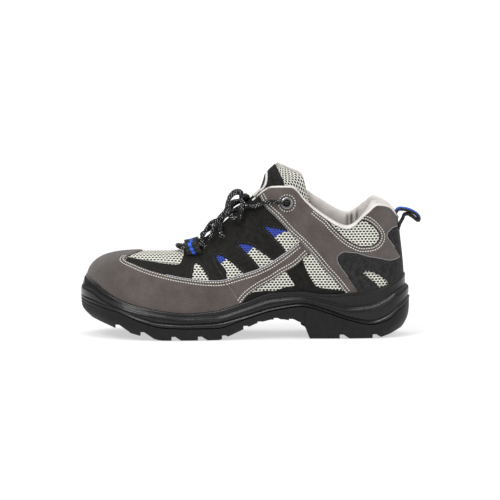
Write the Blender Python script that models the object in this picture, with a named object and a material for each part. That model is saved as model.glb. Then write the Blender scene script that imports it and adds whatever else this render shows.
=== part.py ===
"""Low-cut safety sneaker, left shoe, standing empty on its sole.

Metres, +X to the toe, +Y to the lateral (outer) side, +Z up. The origin lies on the floor under the
heel tread, HEEL_TO_ORIGIN in front of the sole's back edge.

Every section is a station: a side (LATERAL or MEDIAL) and an angle, 0 at the toe tip and 180 at the
back of the heel. The sole's plan, the sole's heights and the upper's ribs are short tables of such
stations, whose lengths are shares of the driving sizes below.
"""

import math
from functools import lru_cache

import bmesh
import bpy
from mathutils import Matrix, Vector

# Driving sizes
SOLE_LENGTH = 0.300
BALL_WIDTH = 0.1115
HEEL_TO_ORIGIN = 0.050
LIP_HEIGHT = 0.0577
SPLIT_HEIGHT = 0.0343
FLOOR_HEIGHT = 0.034
ARCH_HEIGHT = 0.0178
TOE_SPRING = 0.028
HEEL_BEVEL = 0.0208
INSTEP_HEIGHT = 0.140
THROAT_WIDTH = 0.054
TONGUE_HEIGHT = 0.157

# Walls, thicknesses and clearances
WALL_LOW = 0.28
WALL_HIGH = 0.66
WALL_BULGE = 0.0003
SPLIT_SINK = 0.0006
LINE_BELOW = 0.0006
LINE_ABOVE = 0.0009
RAND_SINK = 0.0004
RAND_ABOVE = 0.0008
GROOVE_SINK = 0.0006
GROOVE_BELOW = 0.0010
GROOVE_SLOPE = 0.0005
CAVITY_GAP = 0.0005
CAVITY_MOUTH_GAP = 0.0007
CAVITY_MIDDLE = 0.55
CAVITY_SHELF = 0.004
INSOLE_MARGIN = 0.0012
INSOLE_BEVEL = 0.001
INSOLE_ROUND = 0.0006
INSOLE_WAIST = 0.4
UPPER_WALL = 0.0025
FIT_GAP = 0.0003
UPPER_INSET = 0.0080
INSOLE_THICKNESS = 0.004
MIDSOLE_STEP = 0.0026
LIP_INSET = 0.0048
LINE_DEPTH = 0.0011
TREAD_DEPTH = 0.0038
TREAD_WIDTH = 0.0040
TREAD_CHAMFER = 0.0055
TREAD_ZIGZAG = 0.0028
EDGE_TUCK = 0.0080
RIM_WIDTH = 0.0034
RIM_SLOPE = 0.0014
RIM_GAP = 0.0008
PANEL_SEAT = 0.0012
PANEL_THICKNESS = 0.0012
PANEL_ACROSS = 0.009
PAD_THICKNESS = 0.0070
PAD_RISE = 0.0030
TONGUE_THICKNESS = 0.0065
TONGUE_EDGE = 0.0028
LACE_DIAMETER = 0.0037
END_DIAMETER = 0.0030
EYELET_RADIUS = 0.0041
EYELET_WIRE = 0.0015
EYELET_FLAT = 0.5
WEBBING_THICKNESS = 0.0014
WEBBING_ARCH = 0.0056
WEBBING_STEPS = 4
PULL_LOOP_WIDTH = 0.015
PULL_LOOP_THICKNESS = 0.0016

LATERAL = 1
MEDIAL = -1
TOE_ANGLE = 0
HEEL_ANGLE = 180
THROAT_ANGLE = 70

# Plan of the sole: half widths and the shift of the middle line, as shares of BALL_WIDTH
PLAN_COLUMNS = ("angle", "lateral", "medial", "middle")
PLAN_ROWS = (
    (0, 0.744, 0.600, -0.068),
    (20, 0.742, 0.602, -0.066),
    (30, 0.735, 0.604, -0.062),
    (40, 0.726, 0.598, -0.053),
    (50, 0.685, 0.568, -0.042),
    (60, 0.628, 0.528, -0.031),
    (70, 0.558, 0.463, -0.016),
    (80, 0.487, 0.387, -0.005),
    (90, 0.426, 0.332, 0.0),
    (100, 0.392, 0.314, 0.0),
    (110, 0.387, 0.344, 0.0),
    (120, 0.413, 0.394, 0.0),
    (130, 0.460, 0.454, 0.0),
    (140, 0.516, 0.516, 0.0),
    (150, 0.574, 0.574, 0.0),
    (160, 0.616, 0.616, 0.0),
    (180, 0.646, 0.646, 0.0),
)

# Heights of the sole's lines: split and rand as shares of SPLIT_HEIGHT, groove and lip of LIP_HEIGHT,
# web (top of the outsole inside its rim) and floor (bottom of the cavity) of FLOOR_HEIGHT
LINE_COLUMNS = ("angle", "split", "rand", "groove", "lip", "web", "floor", "tuck")
LINE_ROWS = (
    (0, 1.000, 1.080, 0.771, 0.988, 0.735, 0.882, 1.00),
    (20, 0.918, 1.020, 0.737, 0.875, 0.691, 0.838, 0.85),
    (30, 0.828, 0.918, 0.624, 0.737, 0.618, 0.765, 0.65),
    (40, 0.714, 0.787, 0.529, 0.607, 0.515, 0.662, 0.50),
    (50, 0.501, 0.589, 0.451, 0.520, 0.412, 0.559, 0.50),
    (60, 0.341, 0.452, 0.386, 0.454, 0.315, 0.485, 0.50),
    (70, 0.315, 0.423, 0.341, 0.419, 0.300, 0.456, 0.50),
    (80, 0.315, 0.452, 0.350, 0.451, 0.309, 0.500, 0.50),
    (90, 0.539, 0.627, 0.471, 0.581, 0.471, 0.632, 0.50),
    (100, 0.758, 0.837, 0.607, 0.728, 0.640, 0.765, 0.50),
    (110, 0.860, 0.933, 0.638, 0.745, 0.691, 0.847, 0.50),
    (120, 0.685, 0.764, 0.548, 0.702, 0.632, 0.897, 0.50),
    (130, 0.478, 0.548, 0.466, 0.723, 0.465, 0.941, 0.50),
    (140, 0.373, 0.464, 0.494, 0.754, 0.371, 0.971, 0.55),
    (150, 0.475, 0.592, 0.589, 0.815, 0.453, 0.985, 0.65),
    (160, 0.743, 0.860, 0.711, 0.901, 0.645, 1.000, 0.80),
    (180, 0.985, 1.079, 0.797, 1.000, 0.735, 1.000, 0.95),
)

# Underside along the foot, by share of SOLE_LENGTH from the heel: shares of HEEL_BEVEL behind the
# flat heel, of ARCH_HEIGHT at the arch and of TOE_SPRING before the flat forefoot
GROUND_COLUMNS = ("angle", "bevel", "arch", "spring")
GROUND_ROWS = (
    (0.000, 1.00, 0.0, 0.0),
    (0.005, 0.82, 0.0, 0.0),
    (0.032, 0.37, 0.0, 0.0),
    (0.063, 0.15, 0.0, 0.0),
    (0.095, 0.0, 0.0, 0.0),
    (0.304, 0.0, 0.0, 0.0),
    (0.318, 0.0, 0.60, 0.0),
    (0.342, 0.0, 0.84, 0.0),
    (0.380, 0.0, 1.00, 0.0),
    (0.420, 0.0, 1.00, 0.0),
    (0.467, 0.0, 0.81, 0.0),
    (0.500, 0.0, 0.56, 0.0),
    (0.530, 0.0, 0.33, 0.0),
    (0.575, 0.0, 0.0, 0.0),
    (0.755, 0.0, 0.0, 0.0),
    (0.820, 0.0, 0.0, 0.15),
    (0.877, 0.0, 0.0, 0.30),
    (0.903, 0.0, 0.0, 0.40),
    (0.957, 0.0, 0.0, 0.60),
    (0.987, 0.0, 0.0, 0.82),
    (1.000, 0.0, 0.0, 1.00),
)

# Top ends of the upper's ribs. Along is a share of SOLE_LENGTH, middle of BALL_WIDTH, out of
# THROAT_WIDTH, the two heights of INSTEP_HEIGHT. Lean is the rib's slope there in degrees. Flare and the
# two handles are shares of the rib's chord: they swell its foot and its shoulder.
RIB_COLUMNS = ("angle", "along", "middle", "out", "lateral_top", "medial_top", "lean", "flare",
               "foot_handle", "top_handle")
RIB_ROWS = (
    (0, 0.800, -0.054, 0.00, 0.541, 0.541, 0, 0.08, 0.64, 0.44),
    (30, 0.787, -0.050, 0.00, 0.543, 0.543, 0, 0.06, 0.61, 0.45),
    (45, 0.760, -0.042, 0.00, 0.544, 0.544, 0, 0.05, 0.53, 0.45),
    (60, 0.717, -0.018, 0.00, 0.549, 0.549, 3, 0.05, 0.47, 0.44),
    (70, 0.690, 0.0, 0.00, 0.562, 0.562, 8, 0.05, 0.42, 0.42),
    (80, 0.622, 0.0, 0.22, 0.625, 0.625, 22, 0.05, 0.38, 0.38),
    (90, 0.550, 0.0, 0.31, 0.750, 0.750, 36, 0.05, 0.36, 0.36),
    (100, 0.473, 0.0, 0.38, 0.900, 0.900, 52, 0.04, 0.34, 0.34),
    (105, 0.418, 0.0, 0.46, 0.982, 0.982, 62, 0.04, 0.34, 0.32),
    (110, 0.362, 0.0, 0.50, 0.986, 0.990, 70, 0.04, 0.34, 0.30),
    (115, 0.320, 0.0, 0.53, 0.900, 0.930, 76, 0.05, 0.34, 0.30),
    (120, 0.283, 0.0, 0.555, 0.829, 0.868, 80, 0.06, 0.34, 0.30),
    (130, 0.192, 0.0, 0.574, 0.721, 0.762, 84, 0.08, 0.34, 0.30),
    (140, 0.133, 0.0, 0.537, 0.814, 0.832, 84, 0.08, 0.34, 0.30),
    (150, 0.100, 0.0, 0.444, 0.868, 0.871, 84, 0.07, 0.34, 0.30),
    (160, 0.067, 0.0, 0.278, 0.850, 0.850, 84, 0.06, 0.34, 0.30),
    (170, 0.047, 0.0, 0.148, 0.800, 0.800, 86, 0.05, 0.34, 0.30),
    (180, 0.039, 0.0, 0.00, 0.771, 0.771, 88, 0.05, 0.34, 0.30),
)

# Panels on the upper: each row is a section from a low to a high point, as the station's angle and the
# share of the way up the rib. A low share of 0 starts at the sole's lip.
PANEL_COLUMNS = ("low_angle", "low", "high_angle", "high")
TOE_GUARD_ROWS = (
    (88.0, 0.0, 83.4, 0.395),
    (80.0, 0.0, 77.0, 0.420),
    (70.0, 0.0, 68.4, 0.434),
    (60.0, 0.0, 60.0, 0.446),
    (51.5, 0.0, 51.9, 0.464),
    (43.5, 0.0, 44.6, 0.490),
    (38.0, 0.0, 38.5, 0.520),
    (33.5, 0.0, 35.0, 0.640),
    (28.0, 0.0, 31.0, 0.800),
    (20.0, 0.0, 24.0, 0.910),
    (10.0, 0.0, 12.0, 0.925),
    (0.0, 0.0, 0.0, 0.930),
)
SIDE_STRAP_ROWS = (
    (89.0, 0.0, 84.8, 0.385),
    (92.0, 0.180, 89.0, 0.392),
    (95.7, 0.228, 93.5, 0.388),
    (99.0, 0.250, 98.0, 0.388),
    (102.7, 0.272, 102.0, 0.403),
    (106.3, 0.305, 106.0, 0.440),
    (109.6, 0.341, 108.5, 0.472),
    (113.0, 0.430, 110.6, 0.508),
)
SADDLE_ROWS = (
    (127.8, 0.0, 133.2, 0.155),
    (126.0, 0.205, 129.0, 0.337),
    (123.9, 0.265, 126.0, 0.469),
    (121.5, 0.330, 125.8, 0.600),
    (119.6, 0.389, 126.2, 0.680),
    (115.6, 0.490, 126.0, 0.820),
    (112.5, 0.540, 124.5, 0.930),
    (109.7, 0.580, 121.5, 0.985),
    (107.5, 0.640, 117.0, 0.985),
    (106.1, 0.695, 113.0, 0.985),
    (104.0, 0.775, 109.0, 0.985),
    (103.0, 0.835, 106.0, 0.985),
    (102.0, 0.905, 103.5, 0.985),
)
QUARTER_ROWS = (
    (127.4, 0.690, 127.2, 0.860),
    (130.0, 0.676, 130.0, 0.805),
    (133.3, 0.640, 133.0, 0.745),
    (137.0, 0.560, 137.5, 0.640),
    (141.0, 0.500, 143.0, 0.590),
    (146.0, 0.455, 148.0, 0.615),
    (150.7, 0.432, 149.8, 0.690),
    (154.0, 0.425, 146.0, 0.800),
    (157.0, 0.430, 143.0, 0.900),
    (158.5, 0.480, 141.5, 0.985),
    (157.5, 0.600, 146.0, 0.985),
    (157.5, 0.700, 152.0, 0.985),
    (161.5, 0.770, 160.0, 0.985),
    (170.0, 0.850, 170.0, 0.985),
    (180.0, 0.885, 180.0, 0.985),
)
HEEL_COUNTER_ROWS = (
    (127.3, 0.500, 127.5, 0.600),
    (130.2, 0.345, 129.5, 0.640),
    (134.8, 0.0, 133.5, 0.600),
    (139.7, 0.0, 139.7, 0.475),
    (145.0, 0.0, 145.0, 0.425),
    (151.0, 0.0, 151.0, 0.392),
    (160.0, 0.0, 160.0, 0.392),
    (169.0, 0.0, 169.0, 0.440),
    (180.0, 0.0, 180.0, 0.460),
)
HEEL_PATCH_ROWS = (
    (160.0, 0.520, 159.5, 0.660),
    (164.0, 0.480, 163.5, 0.745),
    (171.0, 0.485, 171.0, 0.825),
    (180.0, 0.495, 180.0, 0.860),
)
EYESTAY_ROWS = (
    (39.5, 0.545, 38.0, 0.585),
    (46.0, 0.515, 46.5, 0.590),
    (53.0, 0.490, 56.0, 0.590),
    (61.0, 0.471, 64.5, 0.600),
    (67.0, 0.460, 69.3, 0.700),
    (70.5, 0.453, 71.2, 0.900),
    (74.0, 0.448, 74.0, 0.975),
    (77.5, 0.442, 77.5, 0.978),
    (81.0, 0.435, 81.5, 0.980),
    (84.5, 0.420, 86.0, 0.980),
    (88.0, 0.415, 90.0, 0.980),
    (92.0, 0.412, 94.0, 0.980),
    (96.5, 0.412, 97.5, 0.980),
    (99.0, 0.420, 99.2, 0.978),
    (101.0, 0.428, 100.7, 0.972),
    (103.5, 0.445, 102.0, 0.820),
    (106.5, 0.482, 104.7, 0.680),
    (109.3, 0.535, 108.0, 0.590),
)

# Windows cut in the panels, laid out as the panels are
WINDOW_ROWS = {
    "window_top": ((101.5, 0.690, 103.4, 0.720), (103.7, 0.564, 109.0, 0.640), (107.6, 0.445, 113.0, 0.550)),
    "window_third": ((91.4, 0.645, 92.0, 0.690), (94.1, 0.533, 96.5, 0.590), (98.3, 0.385, 102.3, 0.395)),
    "window_second": ((82.1, 0.631, 83.4, 0.680), (83.0, 0.523, 87.5, 0.540), (85.6, 0.380, 91.0, 0.380)),
    "window_first": ((73.6, 0.620, 75.4, 0.622), (72.6, 0.520, 77.0, 0.530), (72.0, 0.410, 78.6, 0.410)),
    "window_heel": ((136.4, 0.345, 138.6, 0.346), (142.0, 0.215, 146.0, 0.270),
                    (147.0, 0.145, 152.5, 0.180)),
}
WINDOWS_IN = {
    "eyestay": ("window_top", "window_third", "window_second", "window_first"),
    "heel_counter": ("window_heel",),
}

# Under the throat the tongue's sections lie at these angles; above it they part from the upper
TONGUE_ANGLES = (62, 68, 74, 80, 86, 92, 97, 101)
TONGUE_UNDER = (0.76, 0.83, 0.90)
TONGUE_CROSSING = 7
TONGUE_FREE_STEPS = 3
# Half of the tongue's top edge, from its tail to its shoulder, and the handle towards the apex: along
# as a share of SOLE_LENGTH, out of THROAT_WIDTH, height of TONGUE_HEIGHT
TONGUE_TOP_COLUMNS = ("along", "out", "height")
TONGUE_TOP_ROWS = (
    (0.300, 0.28, 0.760),
    (0.312, 0.30, 0.830),
    (0.328, 0.31, 0.930),
    (0.429, 0.29, 1.030),
)

# Lace stations up the throat: the hole's angle and share of the rib, the angle where the lace turns
# over the throat's edge, and how many eyelet rings lie under it
LACE_COLUMNS = ("angle", "rise", "edge", "rings")
LACE_ROWS = (
    (79.0, 0.890, 80.0, 0),
    (86.5, 0.880, 87.5, 0),
    (108.5, 0.846, 96.7, 1),
)
EYELET = dict(zip(LACE_COLUMNS, LACE_ROWS[-1]))
LACE_BAR = ((79.0, 0.89), (75.0, 0.89), (70.5, 0.89), (67.0, 0.94))
BAR_ANGLE = 65.5
WEBBING_ROWS = (
    (71.8, 0.800, 71.8, 0.960),
    (74.8, 0.800, 74.8, 0.965),
    (77.6, 0.800, 77.6, 0.965),
)

# Free lace, chosen by hand: millimetres in the part's frame
KNOT_POINTS = (
    (98.4, -6.5, 124.8), (99.4, -2.5, 126.0), (100.2, 1.5, 126.4), (100.2, 5.0, 125.8), (99.4, 8.0, 125.0),
)
BOW_LATERAL_POINTS = (
    (103.0, 10.0, 129.2), (104.6, 14.0, 130.8), (107.4, 18.5, 131.6), (111.2, 22.5, 129.6),
    (113.7, 25.5, 124.5), (114.4, 27.5, 118.8), (112.4, 28.8, 114.9), (109.4, 28.4, 115.0),
    (108.2, 26.0, 118.2), (106.4, 20.6, 123.6), (105.4, 14.0, 125.4),
)
BOW_MEDIAL_POINTS = (
    (103.2, -8.0, 129.0), (105.2, -12.6, 130.4), (108.6, -18.0, 129.6), (111.8, -23.0, 125.6),
    (114.2, -27.0, 119.4), (113.4, -29.2, 114.9), (110.6, -28.8, 114.4), (109.2, -25.8, 117.6),
    (106.8, -19.6, 123.4), (105.4, -12.5, 125.0),
)
END_LATERAL_POINTS = (
    (104.8, 5.0, 123.0), (108.0, 9.0, 122.4), (112.0, 13.6, 120.4), (116.0, 17.0, 117.0),
    (120.0, 18.8, 113.0), (124.0, 20.4, 108.8), (128.0, 22.2, 102.0), (130.6, 23.6, 95.0),
    (132.0, 24.2, 88.9),
)
END_MEDIAL_POINTS = (
    (104.4, -3.0, 122.4), (108.0, -8.0, 121.8), (112.0, -13.2, 120.2), (115.4, -18.2, 116.4),
    (118.4, -23.2, 111.0), (121.2, -27.6, 104.8), (124.2, -31.0, 98.0), (127.4, -33.6, 90.8),
    (130.4, -35.6, 84.0),
)

# Side view of the heel's pull loop, chosen by hand: millimetres along and up, in the part's frame
PULL_LOOP_POINTS = (
    (-43.7, 99.5), (-43.7, 104.5), (-44.6, 108.4), (-47.4, 109.2), (-51.0, 108.0), (-55.0, 105.0),
    (-57.6, 103.4), (-59.4, 104.6), (-59.0, 107.6), (-55.4, 111.2), (-49.8, 113.9), (-43.6, 115.2),
    (-39.0, 114.6), (-36.0, 112.6),
)

# Small clearances between pieces, and where the collar's padding starts
LIP_MARGIN = 0.0012
WINDOW_REACH = 0.0020
TONGUE_CLEARANCE = 0.0010
TONGUE_REACH = 0.34
TONGUE_WAY = 0.04
LACE_CLEARANCE = 0.0003
LACE_ARCH = 0.003
LACE_WEAVE = 0.0004
LACE_TUCK = 0.12
LACE_EDGE = 0.995
PAD_START = 111.0
PAD_TAPER = 16.0
PAD_CLEARANCE = 0.0003
PAD_START_SHARE = 0.3

# Section of the collar's padding: share of the way up the rib, and of PAD_THICKNESS there
PAD_SHARES = ((0.60, 0.18), (0.70, 0.65), (0.82, 1.0), (0.94, 0.95), (1.0, 0.80))

# Tread grooves: place along the foot as a share of SOLE_LENGTH, depth as a share of TREAD_DEPTH,
# and the depth of their zigzag as a share of TREAD_ZIGZAG
TREAD_COLUMNS = ("along", "depth", "zigzag")
TREAD_ROWS = (
    (0.893, 0.9, 1.0),
    (0.817, 1.0, 1.0),
    (0.723, 1.0, 1.0),
    (0.643, 1.0, 1.0),
    (0.570, 1.0, 1.0),
    (0.505, 0.9, 0.5),
    (0.462, 0.4, 0.0),
    (0.413, 0.4, 0.0),
    (0.367, 0.4, 0.0),
    (0.213, 1.0, 0.6),
    (0.113, 1.0, 0.6),
)
TREAD_ACROSS = ((-0.60, 0.0), (-0.28, 0.0), (-0.14, 1.0), (0.0, -0.6), (0.14, 1.0), (0.28, 0.0), (0.60, 0.0))

STATION_STEP = 6
MIDSOLE_LEVELS = 14
HALVINGS = 24
NORMAL_TOP = 0.96
NORMAL_RISE = 0.01
NORMAL_ANGLE = 0.5
BREAST_ANGLES = (111.4, 113.1)
RIB_ROWS_UP = 8


def table(columns, rows):
    """Give each row of a table its column names."""
    return [dict(zip(columns, row)) for row in rows]


PLAN = table(PLAN_COLUMNS, PLAN_ROWS)
LINES = table(LINE_COLUMNS, LINE_ROWS)
GROUND = table(GROUND_COLUMNS, GROUND_ROWS)
RIBS = table(RIB_COLUMNS, RIB_ROWS)


@lru_cache(maxsize=None)
def slopes(name, keys, values):
    """Slopes at a column's rows that never overshoot between them."""
    steps = [b - a for a, b in zip(keys, keys[1:])]
    rises = [(b - a) / step for a, b, step in zip(values, values[1:], steps)]
    inner = []
    for before, after, first, second in zip(rises, rises[1:], steps, steps[1:]):
        if before * after <= 0:
            inner.append(0.0)
            continue
        near = 2 * second + first
        far = second + 2 * first
        inner.append((near + far) / (near / before + far / after))
    return (0.0, *inner, 0.0)


def follow(rows, name, at):
    """Read a column smoothly at a place between the rows."""
    keys = tuple(row["angle"] for row in rows)
    values = tuple(row[name] for row in rows)
    at = min(max(at, keys[0]), keys[-1])
    index = next(i for i in range(len(keys) - 1) if at <= keys[i + 1])
    grades = slopes(name, keys, values)
    span = keys[index + 1] - keys[index]
    t = (at - keys[index]) / span
    start, end = values[index], values[index + 1]
    rise = start + (end - start) * t * t * (3 - 2 * t)
    swing = grades[index] * (1 - t) ** 2 * t - grades[index + 1] * (1 - t) * t * t
    return rise + swing * span


def straight(rows, name, at):
    """Read a column along straight lines between the rows."""
    for low, high in zip(rows, rows[1:]):
        if at <= high["angle"]:
            t = max(0.0, (at - low["angle"]) / (high["angle"] - low["angle"]))
            return low[name] + (high[name] - low[name]) * t
    return rows[-1][name]


def fold(side, angle):
    """Carry an angle past the toe tip or the heel's back over to the other side."""
    if angle < TOE_ANGLE:
        return -side, -angle
    if angle > HEEL_ANGLE:
        return -side, 2 * HEEL_ANGLE - angle
    return side, angle


def plan_point(side, angle):
    """Point of the sole's widest outline, in plan."""
    side, angle = fold(side, angle)
    turn = math.radians(angle)
    width = follow(PLAN, "lateral" if side == LATERAL else "medial", angle)
    x = SOLE_LENGTH * (1 + math.cos(turn)) / 2 - HEEL_TO_ORIGIN
    y = BALL_WIDTH * (follow(PLAN, "middle", angle) + side * width * math.sin(turn))
    return Vector((x, y, 0.0))


def plan_normal(side, angle):
    """Outward direction of the outline, in plan."""
    along = plan_point(side, angle + 1.0) - plan_point(side, angle - 1.0)
    return side * Vector((along.y, -along.x, 0.0)).normalized()


def inset_point(side, angle, inset, height=0.0):
    """Point of the outline moved inward, at a height."""
    point = plan_point(side, angle) - plan_normal(side, angle) * inset
    point.z = height
    return point


def share_along(x):
    return (x + HEEL_TO_ORIGIN) / SOLE_LENGTH


def ground(x):
    """Height of the underside at a distance along the foot."""
    at = share_along(x)
    return (HEEL_BEVEL * straight(GROUND, "bevel", at)
            + ARCH_HEIGHT * straight(GROUND, "arch", at)
            + TOE_SPRING * straight(GROUND, "spring", at))


def line(name, angle):
    """Height of one of the sole's lines at a station."""
    size = {"split": SPLIT_HEIGHT, "rand": SPLIT_HEIGHT, "groove": LIP_HEIGHT, "lip": LIP_HEIGHT,
            "web": FLOOR_HEIGHT, "floor": FLOOR_HEIGHT}[name]
    return size * follow(LINES, name, angle)


@lru_cache(maxsize=None)
def rib(side, angle):
    """The four control points of the upper's rib at a station, from its foot to its top."""
    foot = inset_point(side, angle, UPPER_INSET, line("floor", angle) + FIT_GAP)
    top_name = "lateral_top" if side == LATERAL else "medial_top"
    out = BALL_WIDTH * follow(RIBS, "middle", angle) + side * THROAT_WIDTH * follow(RIBS, "out", angle)
    top = Vector((SOLE_LENGTH * follow(RIBS, "along", angle) - HEEL_TO_ORIGIN, out,
                  INSTEP_HEIGHT * follow(RIBS, top_name, angle)))
    chord = (top - foot).length
    outward = foot - top
    outward.z = 0.0
    outward = outward.normalized()
    normal = plan_normal(side, angle)
    lean = math.radians(follow(RIBS, "lean", angle))
    blend = math.sin(lean)
    outward = (outward * (1 - blend) + normal * blend).normalized()
    swell = normal * follow(RIBS, "flare", angle) * chord
    foot_handle = foot + Vector((0, 0, chord * follow(RIBS, "foot_handle", angle))) + swell
    reach = chord * follow(RIBS, "top_handle", angle)
    top_handle = top + (outward * math.cos(lean) - Vector((0, 0, math.sin(lean)))) * reach
    return foot, foot_handle, top_handle, top


def bezier(points, t):
    a, b, c, d = points
    s = 1 - t
    return a * s ** 3 + b * 3 * s * s * t + c * 3 * s * t * t + d * t ** 3


def upper_point(side, angle, rise):
    """Point of the upper's outer surface: a station, and the share of the way up its rib."""
    side, angle = fold(side, angle)
    return bezier(rib(side, angle), rise)


def upper_normal(side, angle, rise):
    """Outward direction of the upper's outer surface."""
    level = min(rise, NORMAL_TOP)
    low, high = max(rise - NORMAL_RISE, 0.0), min(rise + NORMAL_RISE, 1.0)
    ahead = upper_point(side, angle + NORMAL_ANGLE, level)
    behind = upper_point(side, angle - NORMAL_ANGLE, level)
    round_foot = ahead - behind
    up_rib = upper_point(side, angle, high) - upper_point(side, angle, low)
    return side * round_foot.cross(up_rib).normalized()


def upper_offset(side, angle, rise, distance):
    """Point at a distance outside the upper's outer surface, or inside where it is negative."""
    point = upper_point(side, angle, rise) + upper_normal(side, angle, rise) * distance
    if rise == 1.0 and angle <= THROAT_ANGLE:
        other = upper_point(-side, angle, rise) + upper_normal(-side, angle, rise) * distance
        point = (point + other) / 2
    return point


def rise_at_height(side, angle, height):
    """Share of the way up a rib where it reaches a height."""
    low, high = 0.0, 1.0
    for _ in range(HALVINGS):
        middle = (low + high) / 2
        if upper_point(side, angle, middle).z < height:
            low = middle
        else:
            high = middle
    return low


def half_angles():
    """Angles of the stations on one side, from the toe to the heel."""
    angles = set(range(TOE_ANGLE, HEEL_ANGLE + 1, STATION_STEP))
    return sorted(angles | {THROAT_ANGLE} | set(BREAST_ANGLES))


def stations():
    """All stations in order round the foot: lateral from toe to heel, then medial back to the toe."""
    angles = half_angles()
    return [(LATERAL, angle) for angle in angles] + [(MEDIAL, angle) for angle in angles[-2:0:-1]]


def material(name, colour, roughness, metallic=0.0):
    made = bpy.data.materials.get(name)
    if made is None:
        made = bpy.data.materials.new(name)
        made.use_nodes = True
        shader = made.node_tree.nodes["Principled BSDF"]
        shader.inputs["Base Color"].default_value = (*colour, 1.0)
        shader.inputs["Roughness"].default_value = roughness
        shader.inputs["Metallic"].default_value = metallic
    return made


def add_object(name, mesh, finish, collection):
    thing = bpy.data.objects.new(name, mesh)
    mesh.materials.append(finish)
    collection.objects.link(thing)
    return thing


def solid(name, points, faces, finish, collection):
    """Make an object of one closed body, its faces turned outward."""
    shape = bmesh.new()
    made = [shape.verts.new(point) for point in points]
    for face in faces:
        corners = list(dict.fromkeys(face))
        if len(corners) > 2:
            shape.faces.new([made[corner] for corner in corners])
    bmesh.ops.recalc_face_normals(shape, faces=shape.faces)
    mesh = bpy.data.meshes.new(name)
    shape.to_mesh(mesh)
    shape.free()
    mesh.shade_smooth()
    mesh.set_sharp_from_angle(angle=math.radians(40))
    return add_object(name, mesh, finish, collection)


def stack(name, rings, finish, collection, pairs):
    """Join closed rings of equal counts into a body, its two ends closed by a ladder of pairs."""
    count = len(rings[0])
    points = [point for ring in rings for point in ring]
    faces = []
    for level in range(len(rings) - 1):
        low, high = level * count, (level + 1) * count
        for i in range(count):
            j = (i + 1) % count
            faces.append((low + i, low + j, high + j, high + i))
    for start in (0, (len(rings) - 1) * count):
        for (a, b), (c, d) in zip(pairs, pairs[1:]):
            faces.append((start + a, start + c, start + d, start + b))
    return solid(name, points, faces, finish, collection)


def round_foot_pairs():
    """Ladder across a ring of stations: each lateral point with its medial one."""
    count = len(stations())
    return [(i, (count - i) % count) for i in range(len(half_angles()))]


def strip_pairs(count):
    """Ladder across a strip's section, which runs up its outer face and down its inner one."""
    return [(i, count - 1 - i) for i in range(count // 2)]


def make_outsole(finish, collection):
    """Rubber outsole: bevelled edge, side up to the split line, and a rim round a lower web."""
    rings = [[], [], [], [], [], []]
    for side, angle in stations():
        tuck = EDGE_TUCK * follow(LINES, "tuck", angle)
        low = inset_point(side, angle, tuck)
        low.z = ground(low.x)
        split = line("split", angle)
        web = line("web", angle)
        wall = split - low.z
        rings[0].append(low)
        rings[1].append(inset_point(side, angle, WALL_LOW * tuck, low.z + WALL_LOW * wall))
        rings[2].append(inset_point(side, angle, WALL_BULGE, low.z + WALL_HIGH * wall))
        rings[3].append(inset_point(side, angle, SPLIT_SINK, split))
        rings[4].append(inset_point(side, angle, RIM_WIDTH, split))
        rings[5].append(inset_point(side, angle, RIM_WIDTH + RIM_SLOPE, web))
    return stack("outsole", rings, finish, collection, round_foot_pairs())


def cut_tread(outsole, cutters):
    """Cut the tread: each groove is upright behind one lug and chamfered before the next."""
    for number, row in enumerate(table(TREAD_COLUMNS, TREAD_ROWS)):
        x = SOLE_LENGTH * row["along"] - HEEL_TO_ORIGIN
        low = ground(x)
        depth = TREAD_DEPTH * row["depth"]
        sections = []
        for across, turn in TREAD_ACROSS:
            start = x + TREAD_ZIGZAG * row["zigzag"] * turn
            y = BALL_WIDTH * across
            sections.append([Vector((start, y, low + depth)), Vector((start, y, low - TREAD_DEPTH)),
                             Vector((start - TREAD_WIDTH - 2 * TREAD_CHAMFER, y, low - TREAD_DEPTH)),
                             Vector((start - TREAD_WIDTH, y, low + depth))])
        name = f"tread_{number}"
        block = stack(name, sections, outsole.data.materials[0], cutters, strip_pairs(4))
        block.hide_render = True
        block.display_type = "WIRE"
        cut = outsole.modifiers.new(name, "BOOLEAN")
        cut.operation = "DIFFERENCE"
        cut.solver = "MANIFOLD"
        cut.object = block


def make_midsole(finish, collection):
    """Foam cup on the outsole: rand line, side groove, lip, and a cavity that holds the upper."""
    rings = [[] for _ in range(MIDSOLE_LEVELS)]
    for side, angle in stations():
        split = line("split", angle) + FIT_GAP
        web = line("web", angle) + FIT_GAP
        rand = line("rand", angle)
        groove = line("groove", angle)
        lip = line("lip", angle)
        ring = iter(rings)
        next(ring).append(inset_point(side, angle, RIM_WIDTH + RIM_SLOPE + RIM_GAP, web))
        next(ring).append(inset_point(side, angle, RIM_WIDTH + RIM_GAP, split))
        next(ring).append(inset_point(side, angle, LINE_DEPTH, split))
        next(ring).append(inset_point(side, angle, 0.0, split + LINE_ABOVE))
        next(ring).append(inset_point(side, angle, 0.0, rand - LINE_BELOW))
        next(ring).append(inset_point(side, angle, LINE_DEPTH, rand))
        next(ring).append(inset_point(side, angle, RAND_SINK, rand + RAND_ABOVE))
        next(ring).append(inset_point(side, angle, GROOVE_SINK, groove - GROOVE_BELOW))
        next(ring).append(inset_point(side, angle, MIDSOLE_STEP + GROOVE_SLOPE, groove))
        next(ring).append(inset_point(side, angle, LIP_INSET, lip))
        top = rise_at_height(side, angle, lip)
        next(ring).append(upper_offset(side, angle, top, CAVITY_MOUTH_GAP))
        next(ring).append(upper_offset(side, angle, top * CAVITY_MIDDLE, CAVITY_GAP))
        foot = upper_offset(side, angle, 0.0, CAVITY_GAP)
        foot.z = line("floor", angle)
        next(ring).append(foot)
        inner = inset_point(side, angle, UPPER_INSET + CAVITY_SHELF, line("floor", angle))
        next(ring).append(inner)
    return stack("midsole", rings, finish, collection, round_foot_pairs())


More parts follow.
